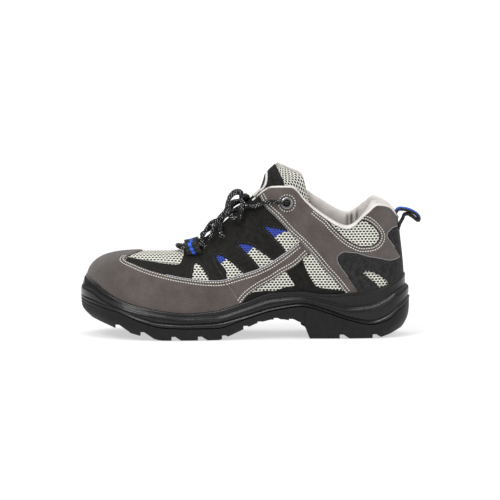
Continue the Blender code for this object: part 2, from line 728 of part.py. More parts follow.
def make_insole(finish, collection):
    """Footbed inside the upper, resting on the midsole."""
    margin = UPPER_INSET + UPPER_WALL + INSOLE_MARGIN
    rings = [[], [], []]
    for side, angle in stations():
        floor = line("floor", angle) + FIT_GAP
        rings[0].append(inset_point(side, angle, margin + INSOLE_BEVEL, floor))
        rings[1].append(inset_point(side, angle, margin, floor + INSOLE_WAIST * INSOLE_THICKNESS))
        rings[2].append(inset_point(side, angle, margin + INSOLE_ROUND, floor + INSOLE_THICKNESS))
    return stack("insole", rings, finish, collection, round_foot_pairs())


def make_upper(finish, collection):
    """Hollow shell of one wall, closed over the toe, open at throat, collar and underneath."""
    ring = stations()
    rises = [row / RIB_ROWS_UP for row in range(RIB_ROWS_UP + 1)]
    points = []
    index = {}

    def place(layer, spot, row):
        side, angle = ring[spot % len(ring)]
        rise = rises[row]
        ridge = row == RIB_ROWS_UP and angle <= THROAT_ANGLE
        key = (layer, 0 if ridge else side, angle, row)
        if key not in index:
            index[key] = len(points)
            points.append(upper_offset(side, angle, rise, -UPPER_WALL * layer))
        return index[key]

    faces = []
    for spot in range(len(ring)):
        for row in range(RIB_ROWS_UP):
            for layer in (0, 1):
                faces.append((place(layer, spot, row), place(layer, spot + 1, row),
                              place(layer, spot + 1, row + 1), place(layer, spot, row + 1)))
        faces.append((place(0, spot, 0), place(0, spot + 1, 0), place(1, spot + 1, 0), place(1, spot, 0)))
        angles = ring[spot][1], ring[(spot + 1) % len(ring)][1]
        if max(angles) > THROAT_ANGLE:
            top = RIB_ROWS_UP
            faces.append((place(0, spot, top), place(0, spot + 1, top),
                          place(1, spot + 1, top), place(1, spot, top)))
    return solid("upper", points, faces, finish, collection)


def panel_point(side, row, t, distance):
    """Point on a panel's section, a share of the way from its low to its high end."""
    angle = row["low_angle"] + (row["high_angle"] - row["low_angle"]) * t
    low = row["low"]
    if low == 0.0:
        low = rise_at_height(side, row["low_angle"], line("lip", row["low_angle"]) + LIP_MARGIN)
    return upper_offset(side, angle, low + (row["high"] - low) * t, distance)


def panel_length(side, row):
    ends = [panel_point(side, row, t, 0.0) for t in (0.0, 0.5, 1.0)]
    return (ends[1] - ends[0]).length + (ends[2] - ends[1]).length


def panel_sections(side, rows, base, thickness, arch=0.0, steps=0):
    """Sections of a panel lying on the upper, each up its outer face and down its inner one."""
    steps = steps or max(2, round(max(panel_length(LATERAL, row) for row in rows) / PANEL_ACROSS))
    shares = [i / steps for i in range(steps + 1)]
    sections = []
    for row in rows:
        lifts = [base + arch * math.sin(math.pi * t) for t in shares]
        outer = [panel_point(side, row, t, lift + thickness) for t, lift in zip(shares, lifts)]
        inner = [panel_point(side, row, t, lift) for t, lift in zip(shares, lifts)]
        sections.append(outer + inner[::-1])
    return sections


def make_side_panel(name, side, rows, finish, collection):
    """Panel on one side of the upper."""
    sections = panel_sections(side, table(PANEL_COLUMNS, rows), PANEL_SEAT, PANEL_THICKNESS)
    return stack(name, sections, finish, collection, strip_pairs(len(sections[0])))


def make_wrapped_panel(name, rows, finish, collection):
    """Panel that runs on from one side to the other round the toe or the heel."""
    named = table(PANEL_COLUMNS, rows)
    lateral = panel_sections(LATERAL, named, PANEL_SEAT, PANEL_THICKNESS)
    medial = panel_sections(MEDIAL, named, PANEL_SEAT, PANEL_THICKNESS)
    sections = lateral + medial[-2::-1]
    return stack(name, sections, finish, collection, strip_pairs(len(sections[0])))


def cut_windows(panel, sides, names, cutters):
    """Cut windows through a panel with blocks laid out on the upper."""
    for side in sides:
        for name in names:
            rows = table(PANEL_COLUMNS, WINDOW_ROWS[name])
            sections = panel_sections(side, rows, -WINDOW_REACH, PANEL_THICKNESS + 3 * WINDOW_REACH)
            finish = panel.data.materials[0]
            block = stack(f"{panel.name}_{name}_{side}", sections, finish, cutters,
                          strip_pairs(len(sections[0])))
            block.hide_render = True
            block.display_type = "WIRE"
            cut = panel.modifiers.new(name, "BOOLEAN")
            cut.operation = "DIFFERENCE"
            cut.object = block


def make_collar_pad(finish, collection):
    """Padded lining that rolls over the collar's edge and swells inside it."""
    skin = UPPER_WALL + FIT_GAP + PAD_CLEARANCE
    angles = [angle for angle in half_angles() if angle > PAD_START]
    ring = [(LATERAL, PAD_START)] + [(LATERAL, angle) for angle in angles]
    ring += [(MEDIAL, angle) for angle in angles[-2::-1]] + [(MEDIAL, PAD_START)]
    sections = []
    for side, angle in ring:
        fullness = min(1.0, PAD_START_SHARE + (angle - PAD_START) / PAD_TAPER)
        outer = []
        inner = []
        for rise, share in PAD_SHARES:
            lift = Vector((0.0, 0.0, PAD_RISE * fullness if rise == 1.0 else 0.0))
            thickness = PAD_THICKNESS * share * fullness
            outer.append(upper_offset(side, angle, rise, -skin) + lift)
            inner.append(upper_offset(side, angle, rise, -skin - thickness) + lift)
        sections.append(outer + inner[::-1])
    return stack("collar_pad", sections, finish, collection, strip_pairs(len(sections[0])))


def crossing(start, start_way, end, end_way, count, reach):
    """Points of an arch from one side of the throat to the other."""
    span = (end - start).length * reach
    arch = (start, start + start_way * span, end + end_way * span, end)
    return [bezier(arch, i / (count - 1)) for i in range(count)]


def tongue_under(angle):
    """Outer line of the tongue across the throat, its wings under the upper's wall."""
    depth = -(UPPER_WALL + FIT_GAP + TONGUE_CLEARANCE)
    wings = {}
    ways = {}
    for side in (LATERAL, MEDIAL):
        wings[side] = [upper_offset(side, angle, rise, depth) for rise in TONGUE_UNDER]
        lower = upper_offset(side, angle, TONGUE_UNDER[-1] - TONGUE_WAY, depth)
        ways[side] = (wings[side][-1] - lower).normalized()
    arch = crossing(wings[LATERAL][-1], ways[LATERAL], wings[MEDIAL][-1], ways[MEDIAL],
                    TONGUE_CROSSING, TONGUE_REACH)
    return wings[LATERAL][:-1] + arch + wings[MEDIAL][-2::-1]


def tongue_top():
    """Outer line of the tongue's top edge."""
    halves = {}
    for side in (LATERAL, MEDIAL):
        halves[side] = [Vector((SOLE_LENGTH * row["along"] - HEEL_TO_ORIGIN,
                                side * THROAT_WIDTH * row["out"], TONGUE_HEIGHT * row["height"]))
                        for row in table(TONGUE_TOP_COLUMNS, TONGUE_TOP_ROWS)]
    wings = {side: halves[side][:len(TONGUE_UNDER) - 1] for side in halves}
    arch = (halves[LATERAL][-2], halves[LATERAL][-1], halves[MEDIAL][-1], halves[MEDIAL][-2])
    points = [bezier(arch, i / (TONGUE_CROSSING - 1)) for i in range(TONGUE_CROSSING)]
    return wings[LATERAL] + points + wings[MEDIAL][::-1]


def tongue_lines():
    """Outer lines of the tongue from the vamp to its top edge."""
    under = [tongue_under(angle) for angle in TONGUE_ANGLES]
    top = tongue_top()
    lines = list(under)
    for step in range(1, TONGUE_FREE_STEPS + 1):
        t = step / TONGUE_FREE_STEPS
        lines.append([a.lerp(b, t) for a, b in zip(under[-1], top)])
    return lines


def make_tongue(finish, collection):
    """Padded tongue: thick along its middle, thin at its wings."""
    lines = tongue_lines()
    last = len(lines[0]) - 1
    sections = []
    for i, points in enumerate(lines):
        before, after = lines[max(i - 1, 0)], lines[min(i + 1, len(lines) - 1)]
        inner = []
        for k, point in enumerate(points):
            across = points[min(k + 1, last)] - points[max(k - 1, 0)]
            along = after[k] - before[k]
            inward = across.cross(along).normalized()
            middle = math.sin(math.pi * k / last) ** 0.5
            inner.append(point + inward * (TONGUE_EDGE + (TONGUE_THICKNESS - TONGUE_EDGE) * middle))
        sections.append(points + inner[::-1])
    return stack("tongue", sections, finish, collection, strip_pairs(len(sections[0])))


def make_band(name, path, across, thickness, finish, collection):
    """Flat band along a path, its width across it."""
    sections = []
    for i, point in enumerate(path):
        along = path[min(i + 1, len(path) - 1)] - path[max(i - 1, 0)]
        out = along.cross(across).normalized() * thickness / 2
        half = across / 2
        sections.append([point + out - half, point + out + half, point - out + half, point - out - half])
    return stack(name, sections, finish, collection, strip_pairs(4))


def smooth_path(points, steps):
    """Smooth curve through hand-chosen points, in metres."""
    mesh_points = [Vector(point) / 1000 for point in points]
    path = []
    for i in range(len(mesh_points) - 1):
        a = mesh_points[max(i - 1, 0)]
        b, c = mesh_points[i], mesh_points[i + 1]
        d = mesh_points[min(i + 2, len(mesh_points) - 1)]
        for step in range(steps):
            t = step / steps
            path.append(0.5 * (2 * b + (c - a) * t + (2 * a - 5 * b + 4 * c - d) * t * t
                               + (3 * b - a - 3 * c + d) * t ** 3))
    return path + [mesh_points[-1]]


def make_tube(name, path, diameter, finish, collection):
    """Round lace along a path, with filled ends."""
    curve = bpy.data.curves.new(name, "CURVE")
    curve.dimensions = "3D"
    curve.bevel_depth = diameter / 2
    curve.bevel_resolution = 2
    curve.use_fill_caps = True
    spline = curve.splines.new("POLY")
    spline.points.add(len(path) - 1)
    for point, place in zip(spline.points, path):
        point.co = (*place, 1.0)
    thing = add_object(name, curve, finish, collection)
    return thing


def tube_to_mesh(thing):
    """Make a mesh of a tube, its caps welded, and remove the curve."""
    graph = bpy.context.evaluated_depsgraph_get()
    mesh = bpy.data.meshes.new_from_object(thing.evaluated_get(graph))
    shape = bmesh.new()
    shape.from_mesh(mesh)
    bmesh.ops.remove_doubles(shape, verts=shape.verts, dist=0.00001)
    shape.to_mesh(mesh)
    shape.free()
    made = bpy.data.objects.new(thing.name + "_mesh", mesh)
    made.matrix_world = thing.matrix_world
    thing.users_collection[0].objects.link(made)
    bpy.data.objects.remove(thing)
    return made


def lace_height():
    """Height of a lace's middle over the upper, clear of the panels."""
    return PANEL_SEAT + PANEL_THICKNESS + FIT_GAP + LACE_DIAMETER / 2 + LACE_CLEARANCE


def lace_half(side, row):
    """Half a crossing: from over its hole to over the throat's edge."""
    height = lace_height()
    seat_height = height + row["rings"] * (2 * EYELET_WIRE * EYELET_FLAT + FIT_GAP)
    seat = upper_offset(side, row["angle"], row["rise"], seat_height)
    halfway = upper_offset(side, (row["angle"] + row["edge"]) / 2, (row["rise"] + 1.0) / 2,
                           seat_height + row["rings"] * LACE_CLEARANCE)
    edge = upper_offset(side, row["edge"], LACE_EDGE, height)
    return [seat, halfway, edge]


def lace_path(side, low, high):
    """Route of one crossing between two stations, over the throat's edges."""
    first = lace_half(side, low)
    last = lace_half(-side, high)
    middle = (first[-1] + last[-1]) / 2 + Vector((0.0, 0.0, LACE_ARCH + side * LACE_WEAVE))
    last[0] = last[0] + (last[0] - last[1]) * LACE_TUCK
    return first + [middle] + last[::-1]


def bar_path():
    """Route of the first bar, through both webbing loops and round the throat's foot."""
    height = lace_height()
    halves = {side: [upper_offset(side, angle, rise, height) for angle, rise in LACE_BAR]
              for side in (LATERAL, MEDIAL)}
    middle = upper_offset(LATERAL, BAR_ANGLE, 1.0, height)
    return halves[LATERAL] + [middle] + halves[MEDIAL][::-1]


def make_lace_crossings(finish, collection, cutters):
    """The lace from the webbing loops up to the knot, its crossings joined into one body."""
    rows = table(LACE_COLUMNS, LACE_ROWS)
    paths = [bar_path()]
    for low, high in zip(rows, rows[1:]):
        paths += [lace_path(side, low, high) for side in (LATERAL, MEDIAL)]
    tubes = []
    for i, path in enumerate(paths):
        tube = make_tube(f"lace_piece_{i}", path, LACE_DIAMETER, finish, collection)
        tube.data.bevel_resolution = 1
        tubes.append(tube_to_mesh(tube))
    body = tubes[0]
    body.name = "lace_crossings"
    for tube in tubes[1:]:
        collection.objects.unlink(tube)
        cutters.objects.link(tube)
        tube.hide_render = True
        tube.display_type = "WIRE"
        join = body.modifiers.new(tube.name, "BOOLEAN")
        join.operation = "UNION"
        join.object = tube
    return body


def make_eyelet(name, side, finish, collection):
    """Flat ring on the eyestay's top corner."""
    bpy.ops.mesh.primitive_torus_add(major_radius=EYELET_RADIUS, minor_radius=EYELET_WIRE,
                                     major_segments=12, minor_segments=5)
    thing = bpy.context.object
    thing.name = name
    thing.data.name = name
    thing.data.transform(Matrix.Diagonal((1.0, 1.0, EYELET_FLAT, 1.0)))
    seat = PANEL_SEAT + PANEL_THICKNESS + FIT_GAP + EYELET_WIRE * EYELET_FLAT
    thing.location = upper_offset(side, EYELET["angle"], EYELET["rise"], seat)
    facing = upper_normal(side, EYELET["angle"], EYELET["rise"])
    thing.rotation_euler = facing.to_track_quat("Z", "Y").to_euler()
    thing.data.materials.append(finish)
    for owner in list(thing.users_collection):
        owner.objects.unlink(thing)
    collection.objects.link(thing)
    return thing


def make_webbing(name, side, finish, collection):
    """Webbing loop at the foot of the throat: an arch that the lace passes under."""
    base = PANEL_SEAT + PANEL_THICKNESS + FIT_GAP
    rows = table(PANEL_COLUMNS, WEBBING_ROWS)
    sections = panel_sections(side, rows, base, WEBBING_THICKNESS, WEBBING_ARCH, WEBBING_STEPS)
    return stack(name, sections, finish, collection, strip_pairs(len(sections[0])))


def make_pull_loop(finish, collection):
    """Webbing loop over the back of the collar."""
    path = smooth_path([(x, 0.0, z) for x, z in PULL_LOOP_POINTS], 2)
    return make_band("pull_loop", path, Vector((0.0, PULL_LOOP_WIDTH, 0.0)), PULL_LOOP_THICKNESS,
                     finish, collection)


def main():
    for thing in list(bpy.data.objects):
        bpy.data.objects.remove(thing)
    parts = bpy.data.collections.new("safety_sneaker")
    bpy.context.scene.collection.children.link(parts)
    cutters = bpy.data.collections.new("cutters")
    bpy.context.scene.collection.children.link(cutters)
    rubber = material("rubber", (0.018, 0.018, 0.018), 0.6)
    foam = material("foam", (0.02, 0.02, 0.02), 0.55)
    footbed = material("footbed", (0.05, 0.05, 0.05), 0.9)
    mesh_cloth = material("mesh_cloth", (0.66, 0.66, 0.58), 0.9)
    lining = material("lining", (0.58, 0.54, 0.50), 0.9)
    nubuck = material("nubuck", (0.10, 0.085, 0.078), 0.85)
    synthetic = material("synthetic", (0.024, 0.023, 0.023), 0.6)
    tongue_cloth = material("tongue_cloth", (0.024, 0.023, 0.023), 0.8)
    webbing = material("webbing", (0.02, 0.02, 0.02), 0.8)
    lace = material("lace", (0.03, 0.03, 0.03), 0.8)
    eyelet = material("eyelet", (0.03, 0.03, 0.03), 0.3, 0.8)

    cut_tread(make_outsole(rubber, parts), cutters)
    make_midsole(foam, parts)
    make_insole(footbed, parts)
    make_upper(mesh_cloth, parts)
    make_collar_pad(lining, parts)
    make_tongue(tongue_cloth, parts)
    make_wrapped_panel("toe_guard", TOE_GUARD_ROWS, nubuck, parts)
    make_wrapped_panel("collar_quarter", QUARTER_ROWS, nubuck, parts)
    counter = make_wrapped_panel("heel_counter", HEEL_COUNTER_ROWS, synthetic, parts)
    cut_windows(counter, (LATERAL, MEDIAL), WINDOWS_IN["heel_counter"], cutters)
    make_wrapped_panel("heel_patch", HEEL_PATCH_ROWS, synthetic, parts)
    for side, word in ((LATERAL, "lateral"), (MEDIAL, "medial")):
        make_side_panel(f"side_strap_{word}", side, SIDE_STRAP_ROWS, nubuck, parts)
        make_side_panel(f"saddle_{word}", side, SADDLE_ROWS, nubuck, parts)
        eyestay = make_side_panel(f"eyestay_{word}", side, EYESTAY_ROWS, synthetic, parts)
        cut_windows(eyestay, (side,), WINDOWS_IN["eyestay"], cutters)
        make_eyelet(f"eyelet_{word}", side, eyelet, parts)
        make_webbing(f"lace_webbing_{word}", side, webbing, parts)
    make_pull_loop(webbing, parts)
    make_lace_crossings(lace, parts, cutters)
    make_tube("lace_knot", smooth_path(KNOT_POINTS, 1), 2 * LACE_DIAMETER, lace, parts)
    make_tube("lace_bow_lateral", smooth_path(BOW_LATERAL_POINTS, 1), LACE_DIAMETER, lace, parts)
    make_tube("lace_bow_medial", smooth_path(BOW_MEDIAL_POINTS, 1), LACE_DIAMETER, lace, parts)
    make_tube("lace_end_lateral", smooth_path(END_LATERAL_POINTS, 1), END_DIAMETER, lace, parts)
    make_tube("lace_end_medial", smooth_path(END_MEDIAL_POINTS, 1), END_DIAMETER, lace, parts)


main()
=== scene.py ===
"""Looks of the safety sneaker: sole, panels, cloth, lining, stitching and laces, laid on the CAD frame.

Metres, in the CAD's frame: +X to the toe, +Y to the outer side, +Z up. A place on the upper is a signed
angle, 0 at the toe tip and 180 at the heel's back, positive on the outer side, and the share of the way
up the rib there, as in the CAD.
"""

import math
import random
from functools import partial

import bmesh
import bpy
import numpy as np
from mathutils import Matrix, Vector
from mathutils.geometry import delaunay_2d_cdt


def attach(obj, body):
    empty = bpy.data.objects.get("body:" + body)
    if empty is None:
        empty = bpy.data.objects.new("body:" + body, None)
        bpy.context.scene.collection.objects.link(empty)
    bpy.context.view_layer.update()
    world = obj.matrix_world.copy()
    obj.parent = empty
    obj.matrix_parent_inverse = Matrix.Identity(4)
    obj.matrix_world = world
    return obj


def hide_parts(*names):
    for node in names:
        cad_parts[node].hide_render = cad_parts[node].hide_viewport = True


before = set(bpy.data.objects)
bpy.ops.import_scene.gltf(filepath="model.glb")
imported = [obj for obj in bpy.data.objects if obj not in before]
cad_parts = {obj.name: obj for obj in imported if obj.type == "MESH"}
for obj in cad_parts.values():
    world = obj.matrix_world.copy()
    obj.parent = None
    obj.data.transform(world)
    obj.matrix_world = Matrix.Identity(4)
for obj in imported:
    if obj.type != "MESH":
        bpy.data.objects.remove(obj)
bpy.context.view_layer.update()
random.seed(7)

# Sizes of the CAD
LENGTH = 0.300
WIDTH = 0.1115
BACK = 0.050
LIP = 0.0577
SPLIT = 0.0343
FLOOR = 0.034
INSTEP = 0.140
THROAT = 0.054
TONGUE = 0.157
INSET = 0.0080
GAP = 0.0003
WALL = 0.0025

# The CAD's tables, but for the toe: there the lip in LINES is lower than the CAD's at 0 and 20, and the flare
# in RIBS is larger at 0, 30 and 45
# angle, outer width, inner width, middle
PLAN = np.array((
    (0, 0.744, 0.600, -0.068), (20, 0.742, 0.602, -0.066), (30, 0.735, 0.604, -0.062),
    (40, 0.726, 0.598, -0.053), (50, 0.685, 0.568, -0.042), (60, 0.628, 0.528, -0.031),
    (70, 0.558, 0.463, -0.016), (80, 0.487, 0.387, -0.005), (90, 0.426, 0.332, 0.0),
    (100, 0.392, 0.314, 0.0), (110, 0.387, 0.344, 0.0), (120, 0.413, 0.394, 0.0),
    (130, 0.460, 0.454, 0.0), (140, 0.516, 0.516, 0.0), (150, 0.574, 0.574, 0.0),
    (160, 0.616, 0.616, 0.0), (180, 0.646, 0.646, 0.0)))
# angle, split, rand, groove, lip, web, floor, tuck
LINES = np.array((
    (0, 1.000, 1.080, 0.771, 0.938, 0.735, 0.882, 1.00),
    (20, 0.918, 1.020, 0.737, 0.860, 0.691, 0.838, 0.85),
    (30, 0.828, 0.918, 0.624, 0.737, 0.618, 0.765, 0.65),
    (40, 0.714, 0.787, 0.529, 0.607, 0.515, 0.662, 0.50),
    (50, 0.501, 0.589, 0.451, 0.520, 0.412, 0.559, 0.50),
    (60, 0.341, 0.452, 0.386, 0.454, 0.315, 0.485, 0.50),
    (70, 0.315, 0.423, 0.341, 0.419, 0.300, 0.456, 0.50),
    (80, 0.315, 0.452, 0.350, 0.451, 0.309, 0.500, 0.50),
    (90, 0.539, 0.627, 0.471, 0.581, 0.471, 0.632, 0.50),
    (100, 0.758, 0.837, 0.607, 0.728, 0.640, 0.765, 0.50),
    (110, 0.860, 0.933, 0.638, 0.745, 0.691, 0.847, 0.50),
    (120, 0.685, 0.764, 0.548, 0.702, 0.632, 0.897, 0.50),
    (130, 0.478, 0.548, 0.466, 0.723, 0.465, 0.941, 0.50),
    (140, 0.373, 0.464, 0.494, 0.754, 0.371, 0.971, 0.55),
    (150, 0.475, 0.592, 0.589, 0.815, 0.453, 0.985, 0.65),
    (160, 0.743, 0.860, 0.711, 0.901, 0.645, 1.000, 0.80),
    (180, 0.985, 1.079, 0.797, 1.000, 0.735, 1.000, 0.95)))
# share along, bevel, arch, spring
GROUND = np.array((
    (0.000, 1.00, 0, 0), (0.005, 0.82, 0, 0), (0.032, 0.37, 0, 0), (0.063, 0.15, 0, 0), (0.095, 0, 0, 0),
    (0.304, 0, 0, 0), (0.318, 0, 0.60, 0), (0.342, 0, 0.84, 0), (0.380, 0, 1.00, 0), (0.420, 0, 1.00, 0),
    (0.467, 0, 0.81, 0), (0.500, 0, 0.56, 0), (0.530, 0, 0.33, 0), (0.575, 0, 0, 0), (0.755, 0, 0, 0),
    (0.820, 0, 0, 0.15), (0.877, 0, 0, 0.30), (0.903, 0, 0, 0.40), (0.957, 0, 0, 0.60), (0.987, 0, 0, 0.82),
    (1.000, 0, 0, 1.00)))
GROUND_SIZES = (0.0208, 0.0178, 0.028)
# angle, along, middle, out, lateral top, medial top, lean, flare, foot handle, top handle
RIBS = np.array((
    (0, 0.800, -0.054, 0.00, 0.541, 0.541, 0, 0.17, 0.64, 0.44),
    (30, 0.787, -0.050, 0.00, 0.543, 0.543, 0, 0.13, 0.61, 0.45),
    (45, 0.760, -0.042, 0.00, 0.544, 0.544, 0, 0.08, 0.53, 0.45),
    (60, 0.717, -0.018, 0.00, 0.549, 0.549, 3, 0.05, 0.47, 0.44),
    (70, 0.690, 0.0, 0.00, 0.562, 0.562, 8, 0.05, 0.42, 0.42),
    (80, 0.622, 0.0, 0.22, 0.625, 0.625, 22, 0.05, 0.38, 0.38),
    (90, 0.550, 0.0, 0.31, 0.750, 0.750, 36, 0.05, 0.36, 0.36),
    (100, 0.473, 0.0, 0.38, 0.900, 0.900, 52, 0.04, 0.34, 0.34),
    (105, 0.418, 0.0, 0.46, 0.982, 0.982, 62, 0.04, 0.34, 0.32),
    (110, 0.362, 0.0, 0.50, 0.986, 0.990, 70, 0.04, 0.34, 0.30),
    (115, 0.320, 0.0, 0.53, 0.900, 0.930, 76, 0.05, 0.34, 0.30),
    (120, 0.283, 0.0, 0.555, 0.829, 0.868, 80, 0.06, 0.34, 0.30),
    (130, 0.192, 0.0, 0.574, 0.721, 0.762, 84, 0.08, 0.34, 0.30),
    (140, 0.133, 0.0, 0.537, 0.814, 0.832, 84, 0.08, 0.34, 0.30),
    (150, 0.100, 0.0, 0.444, 0.868, 0.871, 84, 0.07, 0.34, 0.30),
    (160, 0.067, 0.0, 0.278, 0.850, 0.850, 84, 0.06, 0.34, 0.30),
    (170, 0.047, 0.0, 0.148, 0.800, 0.800, 86, 0.05, 0.34, 0.30),
    (180, 0.039, 0.0, 0.00, 0.771, 0.771, 88, 0.05, 0.34, 0.30)))
RIDGE_ANGLE = 70


def smooth_column(rows, column, at):
    """Read a table's column smoothly, never past its rows' values, as the CAD does."""
    keys, values = rows[:, 0], rows[:, column]
    steps = np.diff(keys)
    rises = np.diff(values) / steps
    grades = np.zeros(len(values))
    before, after = rises[:-1], rises[1:]
    near, far = 2 * steps[1:] + steps[:-1], steps[1:] + 2 * steps[:-1]
    same = before * after > 0
    safe_before, safe_after = np.where(same, before, 1.0), np.where(same, after, 1.0)
    grades[1:-1] = np.where(same, (near + far) / (near / safe_before + far / safe_after), 0.0)
    at = np.clip(at, keys[0], keys[-1])
    index = np.clip(np.searchsorted(keys, at, side="left") - 1, 0, len(steps) - 1)
    span = steps[index]
    t = (at - keys[index]) / span
    start, end = values[index], values[index + 1]
    swing = grades[index] * (1 - t) ** 2 * t - grades[index + 1] * (1 - t) * t * t
    return start + (end - start) * t * t * (3 - 2 * t) + swing * span


def wrap(angle):
    return (np.asarray(angle, float) + 180.0) % 360.0 - 180.0


def joined(x, y, z):
    return np.stack(np.broadcast_arrays(x, y, z), axis=-1)


def unit(vectors):
    return vectors / np.maximum(np.linalg.norm(vectors, axis=-1, keepdims=True), 1e-12)


def catmull_rom(corners, t):
    a, b, c, d = corners
    square = (2 * a - 5 * b + 4 * c - d) * t ** 2
    return 0.5 * (2 * b + (c - a) * t + square + (3 * b - a - 3 * c + d) * t ** 3)


def bezier(corners, t):
    a, b, c, d = corners
    s = 1 - t
    return a * s ** 3 + b * 3 * s * s * t + c * 3 * s * t * t + d * t ** 3


def travelled(points):
    """Distance along a path at each of its points."""
    return np.concatenate([[0], np.cumsum(np.linalg.norm(np.diff(points, axis=0), axis=1))])


def plan(angle):
    angle = wrap(angle)
    place = np.abs(angle)
    width = np.where(angle >= 0, smooth_column(PLAN, 1, place), smooth_column(PLAN, 2, place))
    y = WIDTH * (smooth_column(PLAN, 3, place) + width * np.sin(np.radians(angle)))
    return joined(LENGTH * (1 + np.cos(np.radians(angle))) / 2 - BACK, y, 0.0)


def plan_normal(angle):
    along = plan(angle + 1.0) - plan(angle - 1.0)
    return unit(joined(along[..., 1], -along[..., 0], 0.0))


def sole_point(angle, inset, height):
    """Point of the sole's outline, moved inward, at a height."""
    point = plan(angle) - plan_normal(angle) * np.asarray(inset)[..., None]
    return joined(point[..., 0], point[..., 1], height)


def line(column, size, angle):
    return size * smooth_column(LINES, column, np.abs(wrap(angle)))


def ground(x):
    share = (x + BACK) / LENGTH
    return sum(size * np.interp(share, GROUND[:, 0], GROUND[:, i + 1]) for i, size in enumerate(GROUND_SIZES))


def rib(angle):
    angle = wrap(angle)
    place = np.abs(angle)
    side = np.where(angle >= 0, 1.0, -1.0)
    foot = sole_point(angle, INSET, line(6, FLOOR, angle) + GAP)
    height = np.where(angle >= 0, smooth_column(RIBS, 4, place), smooth_column(RIBS, 5, place))
    out = WIDTH * smooth_column(RIBS, 2, place) + side * THROAT * smooth_column(RIBS, 3, place)
    top = joined(LENGTH * smooth_column(RIBS, 1, place) - BACK, out, INSTEP * height)
    chord = np.linalg.norm(top - foot, axis=-1)[..., None]
    outward = unit((foot - top) * np.array((1.0, 1.0, 0.0)))
    normal = plan_normal(angle)
    lean = np.radians(smooth_column(RIBS, 6, place))[..., None]
    outward = unit(outward * (1 - np.sin(lean)) + normal * np.sin(lean))
    up = np.array((0.0, 0.0, 1.0))
    flare, foot_reach, top_reach = (smooth_column(RIBS, i, place)[..., None] for i in (7, 8, 9))
    foot_handle = foot + up * chord * foot_reach + normal * flare * chord
    top_handle = top + (outward * np.cos(lean) - up * np.sin(lean)) * chord * top_reach
    return foot, foot_handle, top_handle, top


def upper(angle, rise):
    """Points of the upper's outer surface."""
    angle, rise = np.broadcast_arrays(np.asarray(angle, float), np.asarray(rise, float))
    return bezier(rib(angle), rise[..., None])


def upper_normal(angle, rise):
    level = np.minimum(rise, 0.96)
    round_foot = upper(angle + 0.5, level) - upper(angle - 0.5, level)
    up_rib = upper(angle, np.minimum(rise + 0.01, 1.0)) - upper(angle, np.maximum(rise - 0.01, 0.0))
    return unit(np.cross(round_foot, up_rib))


def lift(angle, rise, height):
    """Points at a height over the upper; the two sides meet over the ridge."""
    angle, rise, height = (np.asarray(v, float) for v in np.broadcast_arrays(angle, rise, height))
    point = upper(angle, rise) + upper_normal(angle, rise) * height[..., None]
    ridge = (rise > 0.9999) & (np.abs(wrap(angle)) <= RIDGE_ANGLE)
    if ridge.any():
        other = upper(-angle, rise) + upper_normal(-angle, rise) * height[..., None]
        point = np.where(ridge[..., None], (point + other) / 2, point)
    return point


HALVINGS = 22


def lip_rise(angle, above=0.0):
    """Share of the way up the ribs where they come out of the sole."""
    angle = np.asarray(angle, float)
    target = line(4, LIP, angle) + above
    low, high = np.zeros_like(angle), np.ones_like(angle)
    for _ in range(HALVINGS):
        middle = (low + high) / 2
        below = upper(angle, middle)[..., 2] < target
        low, high = np.where(below, middle, low), np.where(below, high, middle)
    return low


def weave_table():
    """Girth of the upper over angle and rise, measured at constant X from the ridge or edge down."""
    angles = np.arange(0.0, 180.5, 1.0)
    rises = np.linspace(0.0, 1.0, 161)
    girth = np.zeros((len(rises), len(angles)))
    points = np.stack([upper(angles, np.full_like(angles, r)) for r in rises])
    across = np.gradient(points, angles, axis=1)
    girth[0] = points[0, :, 2]
    for i in range(1, len(rises)):
        step = points[i] - points[i - 1]
        turn = -step[:, 0] / np.where(np.abs(across[i, :, 0]) < 1e-5, -1e-5, across[i, :, 0])
        turn = np.clip(turn, -2.0, 2.0)
        moved = step + across[i] * turn[:, None]
        back = np.interp(angles - turn, angles, girth[i - 1])
        girth[i] = back + np.linalg.norm(moved[:, 1:], axis=1)
    return angles, rises, girth


WEAVE = weave_table()
# The vamp lies before this angle and over this rise
VAMP_ANGLE = 80
VAMP_RISE = 0.66


def weave_uv(angle, rise):
    """Weave coordinates in metres: along the foot and round its girth."""
    angles, rises, girth = WEAVE
    place = np.clip(np.abs(wrap(angle)), 0, 180)
    i = np.clip(place.astype(int), 0, len(angles) - 2)
    t = place - i
    level = np.clip(rise, 0, 1) * (len(rises) - 1)
    j = np.clip(level.astype(int), 0, len(rises) - 2)
    s = level - j
    v = (girth[j, i] * (1 - t) * (1 - s) + girth[j, i + 1] * t * (1 - s)
         + girth[j + 1, i] * (1 - t) * s + girth[j + 1, i + 1] * t * s)
    point = upper(angle, rise)
    from_ridge = np.abs(point[..., 1] - WIDTH * smooth_column(RIBS, 2, place))
    on_vamp = np.asarray(rise) > VAMP_RISE
    over_toe = np.where(on_vamp, 0.5 * from_ridge - 0.4 * point[..., 2], point[..., 2] / 0.9)
    return np.stack([point[..., 0], np.where(place < VAMP_ANGLE, over_toe, v)], axis=-1)


# Curves in angle and rise
def spline(points, count, closed=False):
    """Smooth curve through points, evenly spaced by parameter."""
    points = np.asarray(points, float)
    n = len(points)
    if closed:
        ext = np.vstack([points[-1:], points, points[:2]])
        spans = n
    else:
        ext = np.vstack([2 * points[0] - points[1], points, 2 * points[-1] - points[-2]])
        spans = n - 1
    at = np.linspace(0, spans, count + 1 if closed else count)
    if closed:
        at = at[:-1]
    i = np.minimum(at.astype(int), spans - 1)
    t = (at - i)[:, None]
    return catmull_rom((ext[i], ext[i + 1], ext[i + 2], ext[i + 3]), t)


